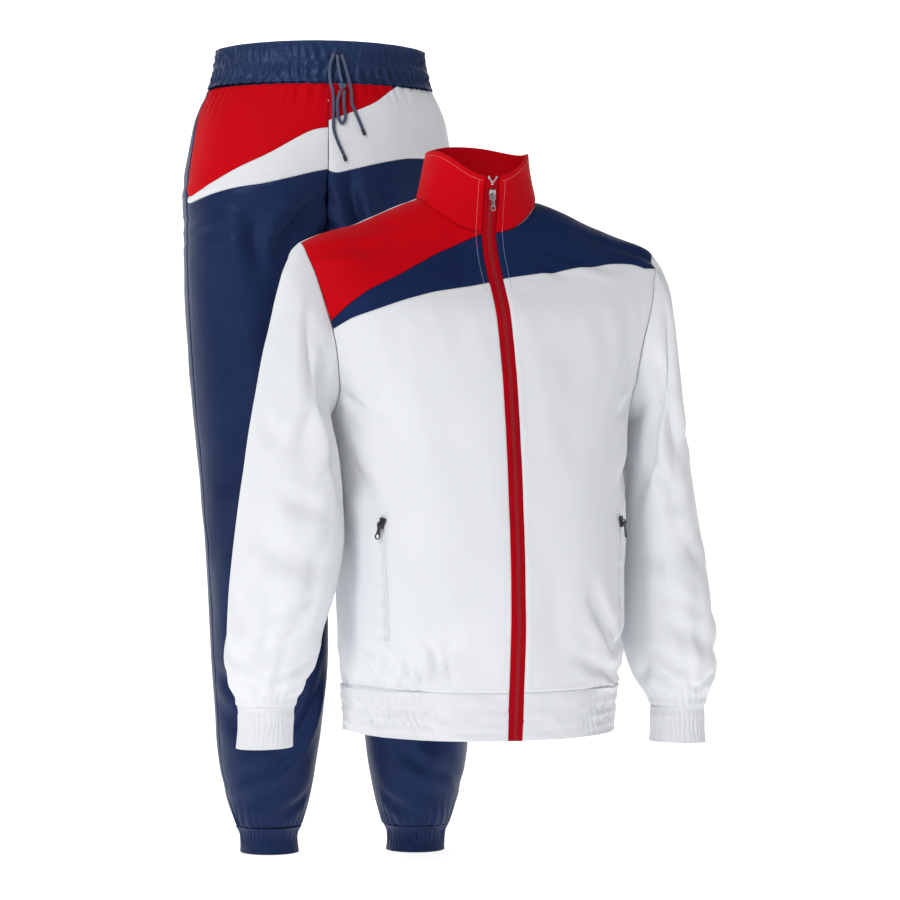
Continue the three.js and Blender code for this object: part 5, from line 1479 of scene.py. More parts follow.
        back = Panel(
            "jacket_back", edges[1], edges[-1], level(HEM_SEAM, 90), level(NECK, SHOULDER_SEAM), 165, 118
        )
        panels.append((back, Slot.WHITE))
        for panel, slot in panels:
            obj = panel.build(self.lay, JACKET_AT)
            dress(obj, self.finishes.slots[slot], nodes=[panel.name])

    def collar_angles(self, t: Array, u: Array) -> Array:
        """Angles round the collar from one zip edge to the other."""
        edge = self.collar.around_at_x(ZIP_HALF, t)
        return lerp(edge, 360 - edge, u)

    def make_collar(self) -> None:
        """Stand collar of doubled cloth with its rim stitched."""
        u = edge_lines(150, 380)[None, :]
        t = lerp(-0.1, 2.0, edge_lines(18, 62))[:, None]
        around, rows = np.broadcast_arrays(self.collar_angles(t, u), t)
        points, outward = self.lay_collar(np.stack([around, rows], -1))
        obj = cloth_shell("collar", points, -outward, DOUBLED, Dips(0.4, 0.4, 1.9, 0.0), JACKET_AT)
        dress(obj, self.finishes.slots[Slot.RED], nodes=["collar"])

    def make_hem(self) -> None:
        """Hem band: elastic gathers at the sides, plain at the front and back."""
        u, v = edge_lines(430, 1000), edge_lines(18, 57)
        start = float(self.body.around_at_x(ZIP_HALF, HEM_SEAM))
        around = lerp(start, 360 - start, u)[None, :] + 0 * v[:, None]
        rows = np.broadcast_to(v[:, None], around.shape)
        base, outward = self.body.plain(around, rows), self.body.normal(around, rows)
        turned = (around + 180) % 360 - 180
        side = smooth(np.abs(turned), 22, 40) * (1 - smooth(np.abs(turned), 140, 158))
        along = np.radians(turned) * BODY_RADIUS
        up = rows * 57
        elastic = sum(np.exp(-(((up - line) / 2.0) ** 2)) for line in HEM_ELASTIC)
        cross = np.sin(math.pi * rows) ** 0.5 * (1 - 0.55 * elastic)
        gathers = gather_wave(along + up * 0.35, up, 8.6, 2.0) + 0.4 * gather_wave(
            along - up * 0.3, up, 4.6, 4.0
        )
        height = -side * (0.2 + 3.6 * (1.3 - gathers) * cross)
        height -= (1 - side) * (0.7 * elastic + 1.0 * np.abs(NOISE.at(base, (30, 30, 8))))
        height += lerp(
            0.9 * NOISE.at(base + 120, (13, 13, 7)), self.relief(around, base), smooth(rows, 0.86, 1.0)
        )
        points = base + outward * height[..., None]
        obj = cloth_shell("hem_band", points, -outward, DOUBLED, Dips(0.4, 0.4, 0.0, 0.5), JACKET_AT)
        dress(obj, self.finishes.slots[Slot.RIB], nodes=["hem_band"])

    def arm_ring(self, row: Array, turn: Array, side: int) -> Array:
        """Points of a tilted sleeve ring; turn 0 is on the outside and 90 in front."""
        ox, oz, ix, iz, front, back, full = np.moveaxis(row, -1, 0)
        c = signed_power(np.cos(np.radians(turn)), full)
        s = signed_power(np.sin(np.radians(turn)), full)
        return np.stack([
            ((ox + ix) / 2 + (ox - ix) / 2 * c) * side, (front + back) / 2 - (back - front) / 2 * s,
            (oz + iz) / 2 + (oz - iz) / 2 * c,
        ], -1)

    def sleeve_grid(self, side: int, turns: Array, t: Array) -> tuple[Array, Array]:
        """Points and outward directions of a sleeve for turns and rows, with its folds."""
        seam, _ = self.lay(self.armhole_place(turns, side))
        seam = seam + np.array([self.sleeve_clear * side, 0, 0])
        rings = np.stack([seam, *[self.arm_ring(row, turns, side) for row in SLEEVES[side]]])
        base = through(rings, t)
        down = np.gradient(base, axis=0)
        wide = np.concatenate([base[:, -2:-1], base, base[:, 1:2]], axis=1)
        across = wide[:, 2:] - wide[:, :-2]
        outward = unit(np.cross(across, down)) * side
        fade = smooth(t, 0.0, 0.9)[:, None]
        spin = turns % 360
        z = base[..., 2]
        height = sum(fold_relief(SLEEVE_FOLDS, spin[None, :] - whole, z, 62) for whole in (0, 360))
        shifted = base + np.array([0, 300.0 * side, 0])
        height += NOISE.at(shifted, (34, 34, 150)) * 1.1 + NOISE.at(shifted + 333, (15, 15, 40)) * 0.5
        above = z - SLEEVES[side][-1, 1]
        at_cuff = 1 - smooth(above, 0, 9)
        height = 1.25 * height * smooth(above, 1, 26) + 1.1 * at_cuff
        length = 26 + 10 * NOISE.at(shifted + 900, (22, 22, 900))
        arc_mm = np.radians(spin)[None, :] * 46 + 0 * z
        near = np.exp(-((above / length) ** 2)) * (1 - 0.75 * at_cuff)
        height -= 3.4 * (1 - gather_wave(arc_mm, above * 0.3, 12.5, 3.0 + side)) * near
        height -= 1.3 * (1 - gather_wave(arc_mm + 5, above * 0.5, 7.0, 6.0 + side)) * near**3
        cap = smooth(t, 0.0, 0.25)[:, None] * (1 - smooth(t, 0.4, 1.6)[:, None])
        height += cap * NOISE.at(shifted + 60, (11, 11, 30)) * 0.9
        return base + outward * (height * fade)[..., None], outward

    def make_sleeves(self) -> None:
        """Sleeves and their wrist cuffs."""
        for word, side in (("right", -1), ("left", 1)):
            turns = np.linspace(0, 360, 101)[:-1]
            t = edge_lines(132, 520) * len(SLEEVES[side])
            closed = np.concatenate([turns, [360.0]])
            points, outward = self.sleeve_grid(side, closed, t)
            points, outward = points[:, :-1], outward[:, :-1]
            top, foot = self.body.plain(90, SHOULDER), self.body.plain(90, ARMPIT)
            middle = (top + foot) / 2 * np.array([side, 1, 1])
            to_middle = unit(middle - points)
            inward = unit(lerp(to_middle, -outward, smooth(t, 0, 0.4)[:, None, None]))
            obj = cloth_shell(
                "sleeve_" + word, points, inward, CLOTH, Dips(0, 0, 0.4, 0.2), JACKET_AT, ring=True
            )
            dress(obj, self.finishes.slots[Slot.WHITE], nodes=["sleeve_" + word])
            self.make_cuff(word, side)

    def make_cuff(self, word: str, side: int) -> None:
        """Gathered elastic cuff."""
        turns = np.linspace(0, 360, 133)[:-1]
        v = edge_lines(20, 50)
        rings = np.stack([self.arm_ring(row, turns, side) for row in WRISTS[side]])
        base = through(rings, v * (len(WRISTS[side]) - 1))
        centre = base.mean(axis=1, keepdims=True)
        outward = unit((base - centre) * np.array([1, 1, 0]))
        up = (v * 50)[:, None] + 0 * turns[None, :]
        along = np.radians(turns)[None, :] * 36 + 0 * up
        cross = np.sin(math.pi * v)[:, None] ** 0.4 * (1 - 0.6 * np.exp(-(((up - 24) / 2) ** 2)))
        height = 0.5 - 2.7 * (1 - gather_wave(along, up, 6.3, 5.0 + side)) * cross
        points = base + outward * height[..., None]
        obj = cloth_shell(
            "cuff_" + word, points, -outward, DOUBLED, Dips(0, 0, 0.9, 0.0), JACKET_AT, ring=True
        )
        dress(obj, self.finishes.slots[Slot.RIB], nodes=["cuff_" + word])

    @staticmethod
    def tape_sink(x: Array, s: Array) -> Array:
        """Outward place of the zip's tape, whose edges run under the fronts and inside the collar."""
        under = np.where(s > NECK, -2.8, -2.0)
        return lerp(-0.9, under, smooth(np.abs(x), 7.8, 9.2))

    def zip_point(self, x: Array, s: Array, lift: Array | float) -> tuple[Array, Array]:
        """Points and outward directions on the zip's line: s is 0 at the hem and NECK at the collar's foot."""
        x, s = np.broadcast_arrays(np.asarray(x, float), np.asarray(s, float))
        on_collar = s > NECK
        low, low_out = self.lay(places(self.side_at(x, np.minimum(s, NECK)), np.minimum(s, NECK)))
        t = np.clip(s - NECK, 0, 2)
        row = through(self.collar.table, t)
        around = np.sign(x) * np.degrees(
            np.arcsin(np.minimum(1, np.abs(x) / row[..., 2]) ** (1 / row[..., 7]))
        )
        high, high_out = self.lay_collar(places(around, t))
        out = np.where(on_collar[..., None], high_out, low_out)
        return np.where(on_collar[..., None], high, low) + out * np.broadcast_to(lift, x.shape)[..., None], out

    def make_zip(self) -> None:
        """Front zip: tape below the slider, two parted halves above it, and the teeth."""
        tape = ZIP_HALF + 2.0
        split = ZIP_SLIDER_ROW + 0.28
        end = NECK + 1.985
        xs = np.array([-tape, -9.2, -7.8, -4, 0, 4, 7.8, 9.2, tape])
        rows = np.concatenate([np.linspace(0, NECK, 150), np.linspace(NECK + 0.1, split, 16)])
        points, out = self.zip_point(xs[None, :], rows[:, None], self.tape_sink(xs[None, :], rows[:, None]))
        below = cloth_shell("zip_tape", points, -out, 1.0, Dips(0.3, 0.3, 0, 0), JACKET_AT)
        halves = []
        rise = np.linspace(split, end, 10)
        open_by = 4.4 * smooth(rise, split, end) + 0.5 * (rise - split) / (end - split)
        for side in (-1, 1):
            lines = lerp(open_by[:, None], tape, np.linspace(0, 1, 4)[None, :]) * side
            height = rise[:, None] + 0 * lines
            points, out = self.zip_point(lines, height, self.tape_sink(lines, height))
            halves.append(cloth_shell(f"zip_half_{side}", points, -out, 1.0, Dips(0, 0, 0, 0), JACKET_AT))
        with bpy.context.temp_override(active_object=below, selected_editable_objects=[below, *halves]):
            bpy.ops.object.join()
        dress(below, self.finishes.slots[Slot.TAPE], nodes=["zip_tape"])
        closed = np.concatenate([np.linspace(0.02, NECK, 300), np.linspace(NECK + 0.05, split - 0.12, 30)])
        paths = []
        for side, shift in ((-1, 0.0), (1, 0.012)):
            path, out = self.zip_point(np.full_like(closed, 1.15 * side), closed + shift, -0.55)
            paths.append((path, out))
        teeth = COIL.lay("zip_teeth", paths, self.finishes.red_teeth, JACKET_AT)
        dress(teeth, self.finishes.red_teeth)
        paths = []
        for side in (-1, 1):
            path, out = self.zip_point((open_by + 0.2) * side, rise, -0.2)
            paths.append((path, out))
        steel = Row(Repeat.TOOTH, 1.9, 1.4, 2.8, 1.8).lay(
            "zip_top_teeth", paths, self.finishes.steel_teeth, JACKET_AT
        )
        dress(steel, self.finishes.steel_teeth)

    def make_slider(self) -> None:
        """Front slider and its pull."""
        at = self.plain_zip(ZIP_SLIDER_ROW)
        up = unit(self.plain_zip(ZIP_SLIDER_ROW + 0.05) - self.plain_zip(ZIP_SLIDER_ROW - 0.05))
        out = -np.cross(np.array([-1.0, 0, 0]), up)
        slider = ZipSlider(FRONT_SLIDER, at, up, out)
        metal = self.finishes.slots[Slot.METAL]
        dress(slider.make_slider("zip_slider_body"), metal, nodes=["zip_slider"])
        dress(slider.make_pull("zip_pull_tab"), metal, "front_zip_pull", ["zip_pull"])

    def plain_zip(self, s: float) -> Array:
        """Point of the zip's middle line on the smooth collar."""
        return self.collar.plain(0.0, s - NECK)

    def pocket_point(self, around: Array, z: Array, lift: float) -> tuple[Array, Array]:
        """Points and outward directions over a pocket."""
        around, z = np.broadcast_arrays(np.asarray(around, float), np.asarray(z, float))
        t = self.body.row_at_z(z, lambda _: around, 0, NECK)
        points, out = self.lay(places(around, t))
        return points + out * lift, out

    def solid_pocket_point(self, around: float, z: float, lift: float) -> Array:
        """Point over a pocket on the surface of the solids, which carries the slider."""
        t = self.body.row_at_z(np.array(z), lambda _: np.array(around), 0, NECK)
        base, out = self.body.plain(around, t), self.body.normal(np.array(around), t)
        return base + out * lift

    def make_pocket(self, word: str, side: int) -> None:
        """Side pocket: two lips of tape with fine teeth between, stitching round it, slider and pull."""
        wide = math.degrees(POCKET_WIDTH / 2 / BODY_RADIUS)
        zs = edge_lines(52, POCKET_TOP - POCKET_FOOT) * (POCKET_TOP - POCKET_FOOT) + POCKET_FOOT
        across = np.array([-1, -0.8, -0.5, -0.28, 0, 0.28, 0.5, 0.8, 1])
        lip = np.array([0.1, 0.75, 1.0, 0.5, -0.1, 0.5, 1.0, 0.75, 0.1])
        around = (POCKET_AROUND + across * wide)[None, :] * side
        points, out = self.pocket_point(around, zs[:, None], 0)
        points = points + out * (lip * 1.3 + 0.1)[None, :, None]
        obj = cloth_shell(f"pocket_{word}_lips", points, -out, 0.9, Dips(0, 0, 0, 0), JACKET_AT)
        dress(obj, self.finishes.slots[Slot.POCKET_TAPE], nodes=[f"pocket_{word}_zip"])
        line = np.linspace(POCKET_FOOT + 4, POCKET_SLIDER_Z - 5, 90)
        paths = [self.pocket_point(POCKET_AROUND * side, line, 0.25)]
        teeth = FINE_COIL.lay(f"pocket_{word}_teeth", paths, self.finishes.white_teeth, JACKET_AT)
        dress(teeth, self.finishes.white_teeth)
        box = math.degrees(7.6 / BODY_RADIUS)
        corners = [
            (-box, POCKET_TOP + 5), (-box, POCKET_FOOT - 5), (box, POCKET_FOOT - 5), (box, POCKET_TOP + 5),
            (-box, POCKET_TOP + 5),
        ]
        route = []
        for (a0, z0), (a1, z1) in zip(corners, corners[1:]):
            share = np.linspace(0, 1, 40 if a0 == a1 else 6)[:-1]
            route.append(np.stack([lerp(a0, a1, share), lerp(z0, z1, share)], -1))
        route = np.concatenate([*route, [corners[0]]])
        path, out = self.pocket_point((POCKET_AROUND + route[:, 0]) * side, route[:, 1], 0.12)
        frame = TOPSTITCH.lay(
            f"pocket_{word}_stitching", [(path, out)], self.finishes.white_thread, JACKET_AT
        )
        dress(frame, self.finishes.white_thread)
        self.make_pocket_slider(word, side)

    def make_pocket_slider(self, word: str, side: int) -> None:
        """Slider and pull of a pocket, where the solids have them."""
        lift = LIFT + POCKET_THICK
        angle = POCKET_AROUND * side
        at = self.solid_pocket_point(angle, POCKET_SLIDER_Z, lift)
        above = self.solid_pocket_point(angle, POCKET_SLIDER_Z + 4, lift)
        line = unit(above - self.solid_pocket_point(angle, POCKET_SLIDER_Z - 4, lift))
        ahead = self.solid_pocket_point(angle + 1, POCKET_SLIDER_Z, 0)
        out = unit(np.cross(ahead - self.solid_pocket_point(angle - 1, POCKET_SLIDER_Z, 0), line))
        lean = math.radians(POCKET_LEAN) * side
        up = line * math.cos(lean) + np.cross(out, line) * math.sin(lean)
        slider = ZipSlider(POCKET_SLIDER, at, up, out, leans=True)
        dark = self.finishes.slots[Slot.DARK]
        dress(
            slider.make_slider(f"pocket_{word}_slider_body"), dark,
            nodes=[f"pocket_{word}_slider"],
        )
        dress(
            slider.make_pull(f"pocket_{word}_pull_tab"), dark, f"{word}_pocket_pull",
            [f"pocket_{word}_pull"],
        )

    def make_stitching(self) -> None:
        """Visible rows of stitches: collar rim, plackets, seams and hem."""
        thread = self.finishes
        u = np.linspace(0.012, 0.988, 300)
        rim, rim_out = self.lay_collar(places(self.collar_angles(np.full(300, 1.78), u), 1.78))
        collar_row = TOPSTITCH.lay(
            "collar_stitching", [(rim + rim_out * 0.12, rim_out)], thread.pink_thread, JACKET_AT
        )
        dress(collar_row, thread.pink_thread)
        rows = {
            "placket_stitching_red": (
                thread.pink_thread, [(-1, 10.25, NECK + 1.7), (1, NECK + 0.05, NECK + 1.7)]
            ),
            "placket_stitching_navy": (thread.blue_thread, [(-1, 7.95, 10.2), (1, 8.0, NECK)]),
            "placket_stitching_white": (
                thread.white_thread, [(-1, HEM_SEAM + 0.05, 7.9), (1, HEM_SEAM + 0.05, 7.95)]
            ),
        }
        for name, (finish, runs) in rows.items():
            paths = []
            for side, low, high in runs:
                s = np.linspace(low, high, 160)
                offset = 16.5 * side
                path, out = self.zip_point(np.full_like(s, offset), s, 0.12)
                paths.append((path, out))
            dress(TOPSTITCH.lay(name, paths, finish, JACKET_AT), finish)
        paths = []
        for side in (-1, 1):
            turns = np.linspace(8, 352, 260)
            points, outward = self.sleeve_grid(side, turns, np.array([0.0, 0.06, 0.1, 0.14]))
            paths.append((points[2] + outward[2] * 0.12, outward[2]))
        dress(
            TOPSTITCH.lay("armhole_stitching", paths, thread.white_thread, JACKET_AT), thread.white_thread,
        )
        points, out = self.lay(places(np.linspace(4, 356, 700), HEM_SEAM + 0.055))
        hem_row = TOPSTITCH.lay(
            "hem_stitching", [(points + out * 0.12, out)], thread.white_thread, JACKET_AT
        )
        dress(hem_row, thread.white_thread)

    def build(self) -> None:
        """Builds the whole jacket."""
        self.make_panels()
        self.make_collar()
        self.make_hem()
        self.make_sleeves()
        self.make_zip()
        self.make_slider()
        for word, side in (("right", -1), ("left", 1)):
            self.make_pocket(word, side)
        self.make_stitching()


MIDDLE_GAP = 0.2
SIDE_SEAM_WAIST, SIDE_SEAM_LEG, SIDE_SEAM_HIP = -4.0, {-1: -15.0, 1: -6.0}, 5.5
WAIST_RISE = 4.0  # how far the waistband's edge rises in front and behind
FRONT_COLUMNS, BEYOND_RED, BACK_COLUMNS = 8, 3, 9
MID = Dips(left=0.4)  # panels that end on the middle seam


@dataclass
class Trousers:
    """Elastic-waist trousers: hip panels, legs, bands and drawstring."""

    finishes: Wardrobe
    drift_from: float = -40.0
    drift_to: float = -700.0
    drift_x: float = 29.0

    def drift(self, z: Array) -> Array:
        """How far both legs have moved to the wearer's left at a height."""
        return self.drift_x * (1 - smooth(z, self.drift_to, self.drift_from))

    @staticmethod
    def side_turn(t: Array, side: int) -> Array:
        """Turn of the side seam at a row: nearly at the side at the waist, further in front below."""
        share = np.clip((np.asarray(t, float) - WAIST_SEAM) / (SIDE_SEAM_HIP - WAIST_SEAM), 0, 1)
        return lerp(SIDE_SEAM_WAIST, SIDE_SEAM_LEG[side], share)

    def side_places(self, t: Array, side: int) -> Array:
        """Places on the side seam."""
        return places(self.side_turn(t, side), t)

    @staticmethod
    def edge_turn(t: Array) -> Array:
        """Turn at which a leg's half meets the middle."""
        row = through(LEG, t)
        return np.where(
            np.asarray(t) >= CROTCH, 180.0, np.degrees(np.arccos(-np.minimum(1, row[..., 1] / row[..., 2])))
        )

    def plain(self, turn: Array, t: Array, side: int) -> Array:
        """Points of one leg's half; turn 0 faces outwards, -90 the front and 90 the back."""
        z, centre, out, front, back = np.moveaxis(through(LEG, t), -1, 0)
        c, s = np.cos(np.radians(turn)), np.sin(np.radians(turn))
        q = MIDDLE_GAP + centre + out * c
        return np.stack([q * side + self.drift(z), np.where(s < 0, front, back) * np.abs(s), z + 0 * s], -1)

    def normal(self, turn: Array, t: Array, side: int) -> Array:
        """Outward directions of the smooth leg."""
        t = np.clip(t, 0.01, ANKLE_SEAM - 0.01)
        along = self.plain(turn + 0.5, t, side) - self.plain(turn - 0.5, t, side)
        down = self.plain(turn, t + 0.01, side) - self.plain(turn, t - 0.01, side)
        return unit(np.cross(along, down)) * -side

    def relief(self, turn: Array, base: Array, side: int) -> Array:
        """Outward height of folds and gathers of the legs' cloth."""
        z = base[..., 2]
        folds = LEG_FOLDS + (RIGHT_LEG_FOLDS if side < 0 else LEFT_LEG_FOLDS)
        height = 1.3 * fold_relief(folds, turn, z, 85)
        shifted = base + np.array([0, 700.0 * side, 0]) * (1 - smooth(z, -60, 60))[..., None]
        height += NOISE.at(shifted, (48, 48, 130)) * 1.7 + NOISE.at(shifted + 200, (20, 20, 34)) * 0.55
        arc_mm = np.radians(turn) * 120 * side
        below = 168 - z
        reach = 22 + 12 * NOISE.at(base + 900, (26, 26, 900))
        near = np.exp(-((below / reach) ** 2))
        height -= 3.2 * (1 - gather_wave(arc_mm, below * 0.2, 13.0, 8.0)) * near
        height -= 1.4 * (1 - gather_wave(arc_mm + 5, below * 0.3, 6.6, 21.0)) * near**2
        above = z + 793
        length = 24 + 10 * NOISE.at(base + 300, (20, 20, 900))
        height -= 2.8 * (1 - gather_wave(np.radians(turn) * 52, above * 0.2, 11.5, 9.0 + side)) * np.exp(
            -((above / length) ** 2)
        )
        middle = np.exp(-((np.abs(base[..., 0] - self.drift(z)) / 9) ** 2)) * smooth(z, -60, -20)
        height += middle * NOISE.at(base + 80, (60, 60, 13)) * 0.8
        return height

    def surface(self, side: int) -> Surface:
        """The cloth surface of one half."""
        def lay(grid: Array) -> tuple[Array, Array]:
            """Points and outward directions for places."""
            turn, t = grid[..., 0], grid[..., 1]
            base, outward = self.plain(turn, t, side), self.normal(turn, t, side)
            return base + outward * self.relief(turn, base, side)[..., None], outward
        return lay

    @staticmethod
    def row_at(z: Array) -> Array:
        """Row at a height."""
        rows = np.linspace(0, ANKLE_SEAM, 3201)
        return np.interp(-np.asarray(z, float), -through(LEG[:, 0], rows), rows)

    def seam(self, edge: Array, count: int) -> Array:
        """Places along a colour seam from the middle outwards."""
        stations = np.linspace(0, len(edge) - 1, count + 1)
        x, z = through(edge[:, 0], stations), through(edge[:, 1], stations)
        t = self.row_at(z)
        row = through(LEG, t)
        turn = np.degrees(np.arccos(np.clip((np.abs(x) - MIDDLE_GAP - row[..., 1]) / row[..., 2], -1, 1)))
        made = places(np.maximum(-self.edge_turn(t), -turn), t)
        made[0, 0] = -self.edge_turn(made[0, 1])
        return made

    def on_middle(self, rows: Array, sign: int = -1) -> Array:
        """Places on the middle seam."""
        return places(self.edge_turn(rows) * sign, rows)

    def make_panels(self) -> None:
        """Hip panels and legs of both halves."""
        k = FINE
        for word, side, red, white in (
            ("right", -1, HIP_RED_RIGHT, HIP_WHITE_RIGHT), ("left", 1, HIP_RED_LEFT, HIP_WHITE_LEFT)
        ):
            right = side < 0
            columns = (FRONT_COLUMNS if right else FRONT_COLUMNS + BEYOND_RED) * k
            red_seam, white_seam = self.seam(red, FRONT_COLUMNS * k), self.seam(white, columns)
            white_seam[-1] = self.side_places(white_seam[-1, 1], side)
            red_seam[-1] = self.side_places(red_seam[-1, 1], side) if right else (
                red_seam[-1, 0], WAIST_SEAM
            )
            side_waist = float(self.side_turn(WAIST_SEAM, side))
            side_foot = float(self.side_turn(ANKLE_SEAM, side))
            waist_edge = -float(self.edge_turn(np.array(float(WAIST_SEAM))))
            waist = places(
                steps(waist_edge, side_waist if right else red_seam[-1, 0], FRONT_COLUMNS * k), WAIST_SEAM
            )
            red_middle = self.on_middle(np.linspace(red_seam[0, 1], WAIST_SEAM, 40))
            white_middle = self.on_middle(np.linspace(white_seam[0, 1], red_seam[0, 1], 40))
            if right:
                red_side = self.side_places(np.linspace(red_seam[-1, 1], WAIST_SEAM, 40), side)
                white_side = self.side_places(np.linspace(white_seam[-1, 1], red_seam[-1, 1], 40), side)
                red_panel = Panel("hip_right_red", red_middle, red_side, red_seam, waist, 40, 64, MID)
                white_panel = Panel(
                    "hip_right_white", white_middle, white_side, white_seam, red_seam, 16, 64, MID
                )
            else:
                corner = red_seam[-1]
                blunt = red_seam.copy()
                blunt[:, 1] += np.linspace(0, 1, len(blunt)) ** 12 * 0.06
                end = places(corner[0], np.linspace(blunt[-1, 1], WAIST_SEAM, 10))
                red_panel = Panel("hip_left_red", red_middle, end, blunt, waist, 14, 40, MID)
                beyond = places(steps(corner[0], side_waist, BEYOND_RED * k), WAIST_SEAM)[1:]
                white_side = self.side_places(np.linspace(white_seam[-1, 1], WAIST_SEAM, 40), side)
                top = np.concatenate([blunt, beyond])
                white_panel = Panel("hip_left_white", white_middle, white_side, white_seam, top, 30, 72, MID)
            foot = places(steps(-180, side_foot, columns), ANKLE_SEAM)
            top_row = max(white_seam[0, 1], white_seam[-1, 1])
            rows = self.leg_rows(top_row)
            share = (ANKLE_SEAM - rows) / (ANKLE_SEAM - top_row)
            inside, outside = (ANKLE_SEAM + (white_seam[end, 1] - ANKLE_SEAM) * share for end in (0, -1))
            front_edges = self.on_middle(inside), self.side_places(outside, side)
            front = Panel("leg_front_" + word, *front_edges, foot, white_seam, 205, 62, MID)
            rows = self.leg_rows(WAIST_SEAM)
            back_foot = places(steps(side_foot, 180, BACK_COLUMNS * k), ANKLE_SEAM)
            back_top = places(steps(side_waist, -waist_edge, BACK_COLUMNS * k), WAIST_SEAM)
            back_edges = self.side_places(rows, side), self.on_middle(rows, 1)
            back = Panel("leg_back_" + word, *back_edges, back_foot, back_top, 236, 64, Dips(right=0.4))
            panels = [(red_panel, Slot.RED), (white_panel, Slot.WHITE), (front, Slot.LEGS), (back, Slot.LEGS)]
            for panel, slot in panels:
                obj = panel.build(self.surface(side), TROUSERS_AT)
                dress(obj, self.finishes.slots[slot], nodes=[panel.name])

    @staticmethod
    def leg_rows(start: float) -> Array:
        """Rows from the ankle up to start, spaced evenly in height."""
        fine = np.linspace(start, ANKLE_SEAM, 4001)
        heights = through(LEG[:, 0], fine)
        return np.interp(np.linspace(heights[-1], heights[0], 260), heights[::-1], fine[::-1])

    def make_waistband(self) -> None:
        """Elastic waistband: two rows of gathers with a sewn channel between."""
        turns = np.linspace(0, 360, 381)[:-1]
        v = edge_lines(30, 51)
        t = (1 - v)[:, None] * WAIST_SEAM
        z, _, out, front, back = np.moveaxis(through(LEG, t), -1, 0)
        c, s = np.cos(np.radians(turns))[None, :], np.sin(np.radians(turns))[None, :]
        rise = WAIST_RISE * s * s * (1 - t / WAIST_SEAM)
        base = np.stack([out * c, np.where(s < 0, -front, back) * s, z + rise], -1)
        outward = unit(np.stack([c / out, s / np.where(s < 0, -front, back), 0 * (c + out)], -1))
        up = z + 0 * c - 168
        along = np.radians(turns)[None, :] * 122 + NOISE.at(base, (46, 46, 24)) * 5.0
        channel, low, high = 27.0, np.clip(up, 0, 27) / 27, np.clip(up - 27, 0, 24) / 24
        fine = gather_wave(along + up * 0.5, up, 5.4, 14.0)
        lower = np.sin(math.pi * low) ** 0.45 * (1.3 - gather_wave(along, up, 11.5, 12.0) - 0.45 * fine)
        upper = np.sin(math.pi * np.clip(high, 0, 0.999)) ** 0.45 * (
            1.3 - gather_wave(along + 4, up, 9.6, 13.0) - 0.4 * fine
        )
        height = 0.6 - np.where(up < channel, lower * 4.0, upper * 3.0) - 2.1 * np.exp(
            -(((up - channel) / 2.1) ** 2)
        )
        height += 0.8 * NOISE.at(base, (7, 7, 12)) + 0.5 * NOISE.at(base + 60, (4, 4, 5))
        scallop = np.exp(-((up / 7) ** 2)) * (1 - gather_wave(along, up * 0, 11.5, 12.0))
        points = base + outward * height[..., None] + scallop[..., None] * np.array([0, 0, 2.2])
        obj = cloth_shell(
            "waistband", points, -outward, DOUBLED, Dips(0, 0, 1.0, 0.0), TROUSERS_AT, ring=True
        )
        dress(obj, self.finishes.slots[Slot.WAIST], nodes=["waistband"])

    def make_ankles(self) -> None:
        """Gathered elastic ankle bands."""
        turns = np.linspace(0, 360, 121)[:-1]
        v = edge_lines(14, 34)
        for word, side in (("right", -1), ("left", 1)):
            z, centre, out, front, back = np.moveaxis(through(ANKLE, v * (len(ANKLE) - 1))[:, None], -1, 0)
            c, s = np.cos(np.radians(turns))[None, :], np.sin(np.radians(turns))[None, :]
            base = np.stack(
                [(centre + out * c) * side + self.drift(z), np.where(s < 0, -front, back) * s, z + 0 * c],
                -1,
            )
            outward = unit(np.stack([c * side + 0 * z, s + 0 * z, 0 * (c + z)], -1))
            up = (v * 34)[:, None] + 0 * turns[None, :]
            along = np.radians(turns)[None, :] * 42 + 0 * up
            height = 0.5 - 2.6 * (1 - gather_wave(along, up, 6.6, 15.0 + side)) * np.sin(math.pi * v)[
                :, None
            ] ** 0.45
            points = base + outward * height[..., None]
            obj = cloth_shell(
                "ankle_" + word, points, -outward, DOUBLED, Dips(0, 0, 0.9, 0), TROUSERS_AT, ring=True
            )
            dress(obj, self.finishes.slots[Slot.LEGS], nodes=["ankle_" + word])

    def make_stitching(self) -> None:
        """Stitch row of the waistband's channel."""
        turns = np.linspace(0, 360, 500)
        row = through(LEG, np.array(0.98))
        c, s = np.cos(np.radians(turns)), np.sin(np.radians(turns))
        reach = np.where(s < 0, -row[3], row[4])
        out = unit(np.stack([c / row[2], s / reach, 0 * c], -1))
        path = np.stack([row[2] * c, reach * s, row[0] + 0 * c], -1) - out * 1.3
        dress(TOPSTITCH.lay("waist_stitching", [(path, out)], self.finishes.navy_thread, TROUSERS_AT),
              self.finishes.navy_thread)

    def build(self) -> None:
        """Builds the trousers without their drawstring."""
        self.make_panels()
        self.make_waistband()
        self.make_ankles()
        self.make_stitching()


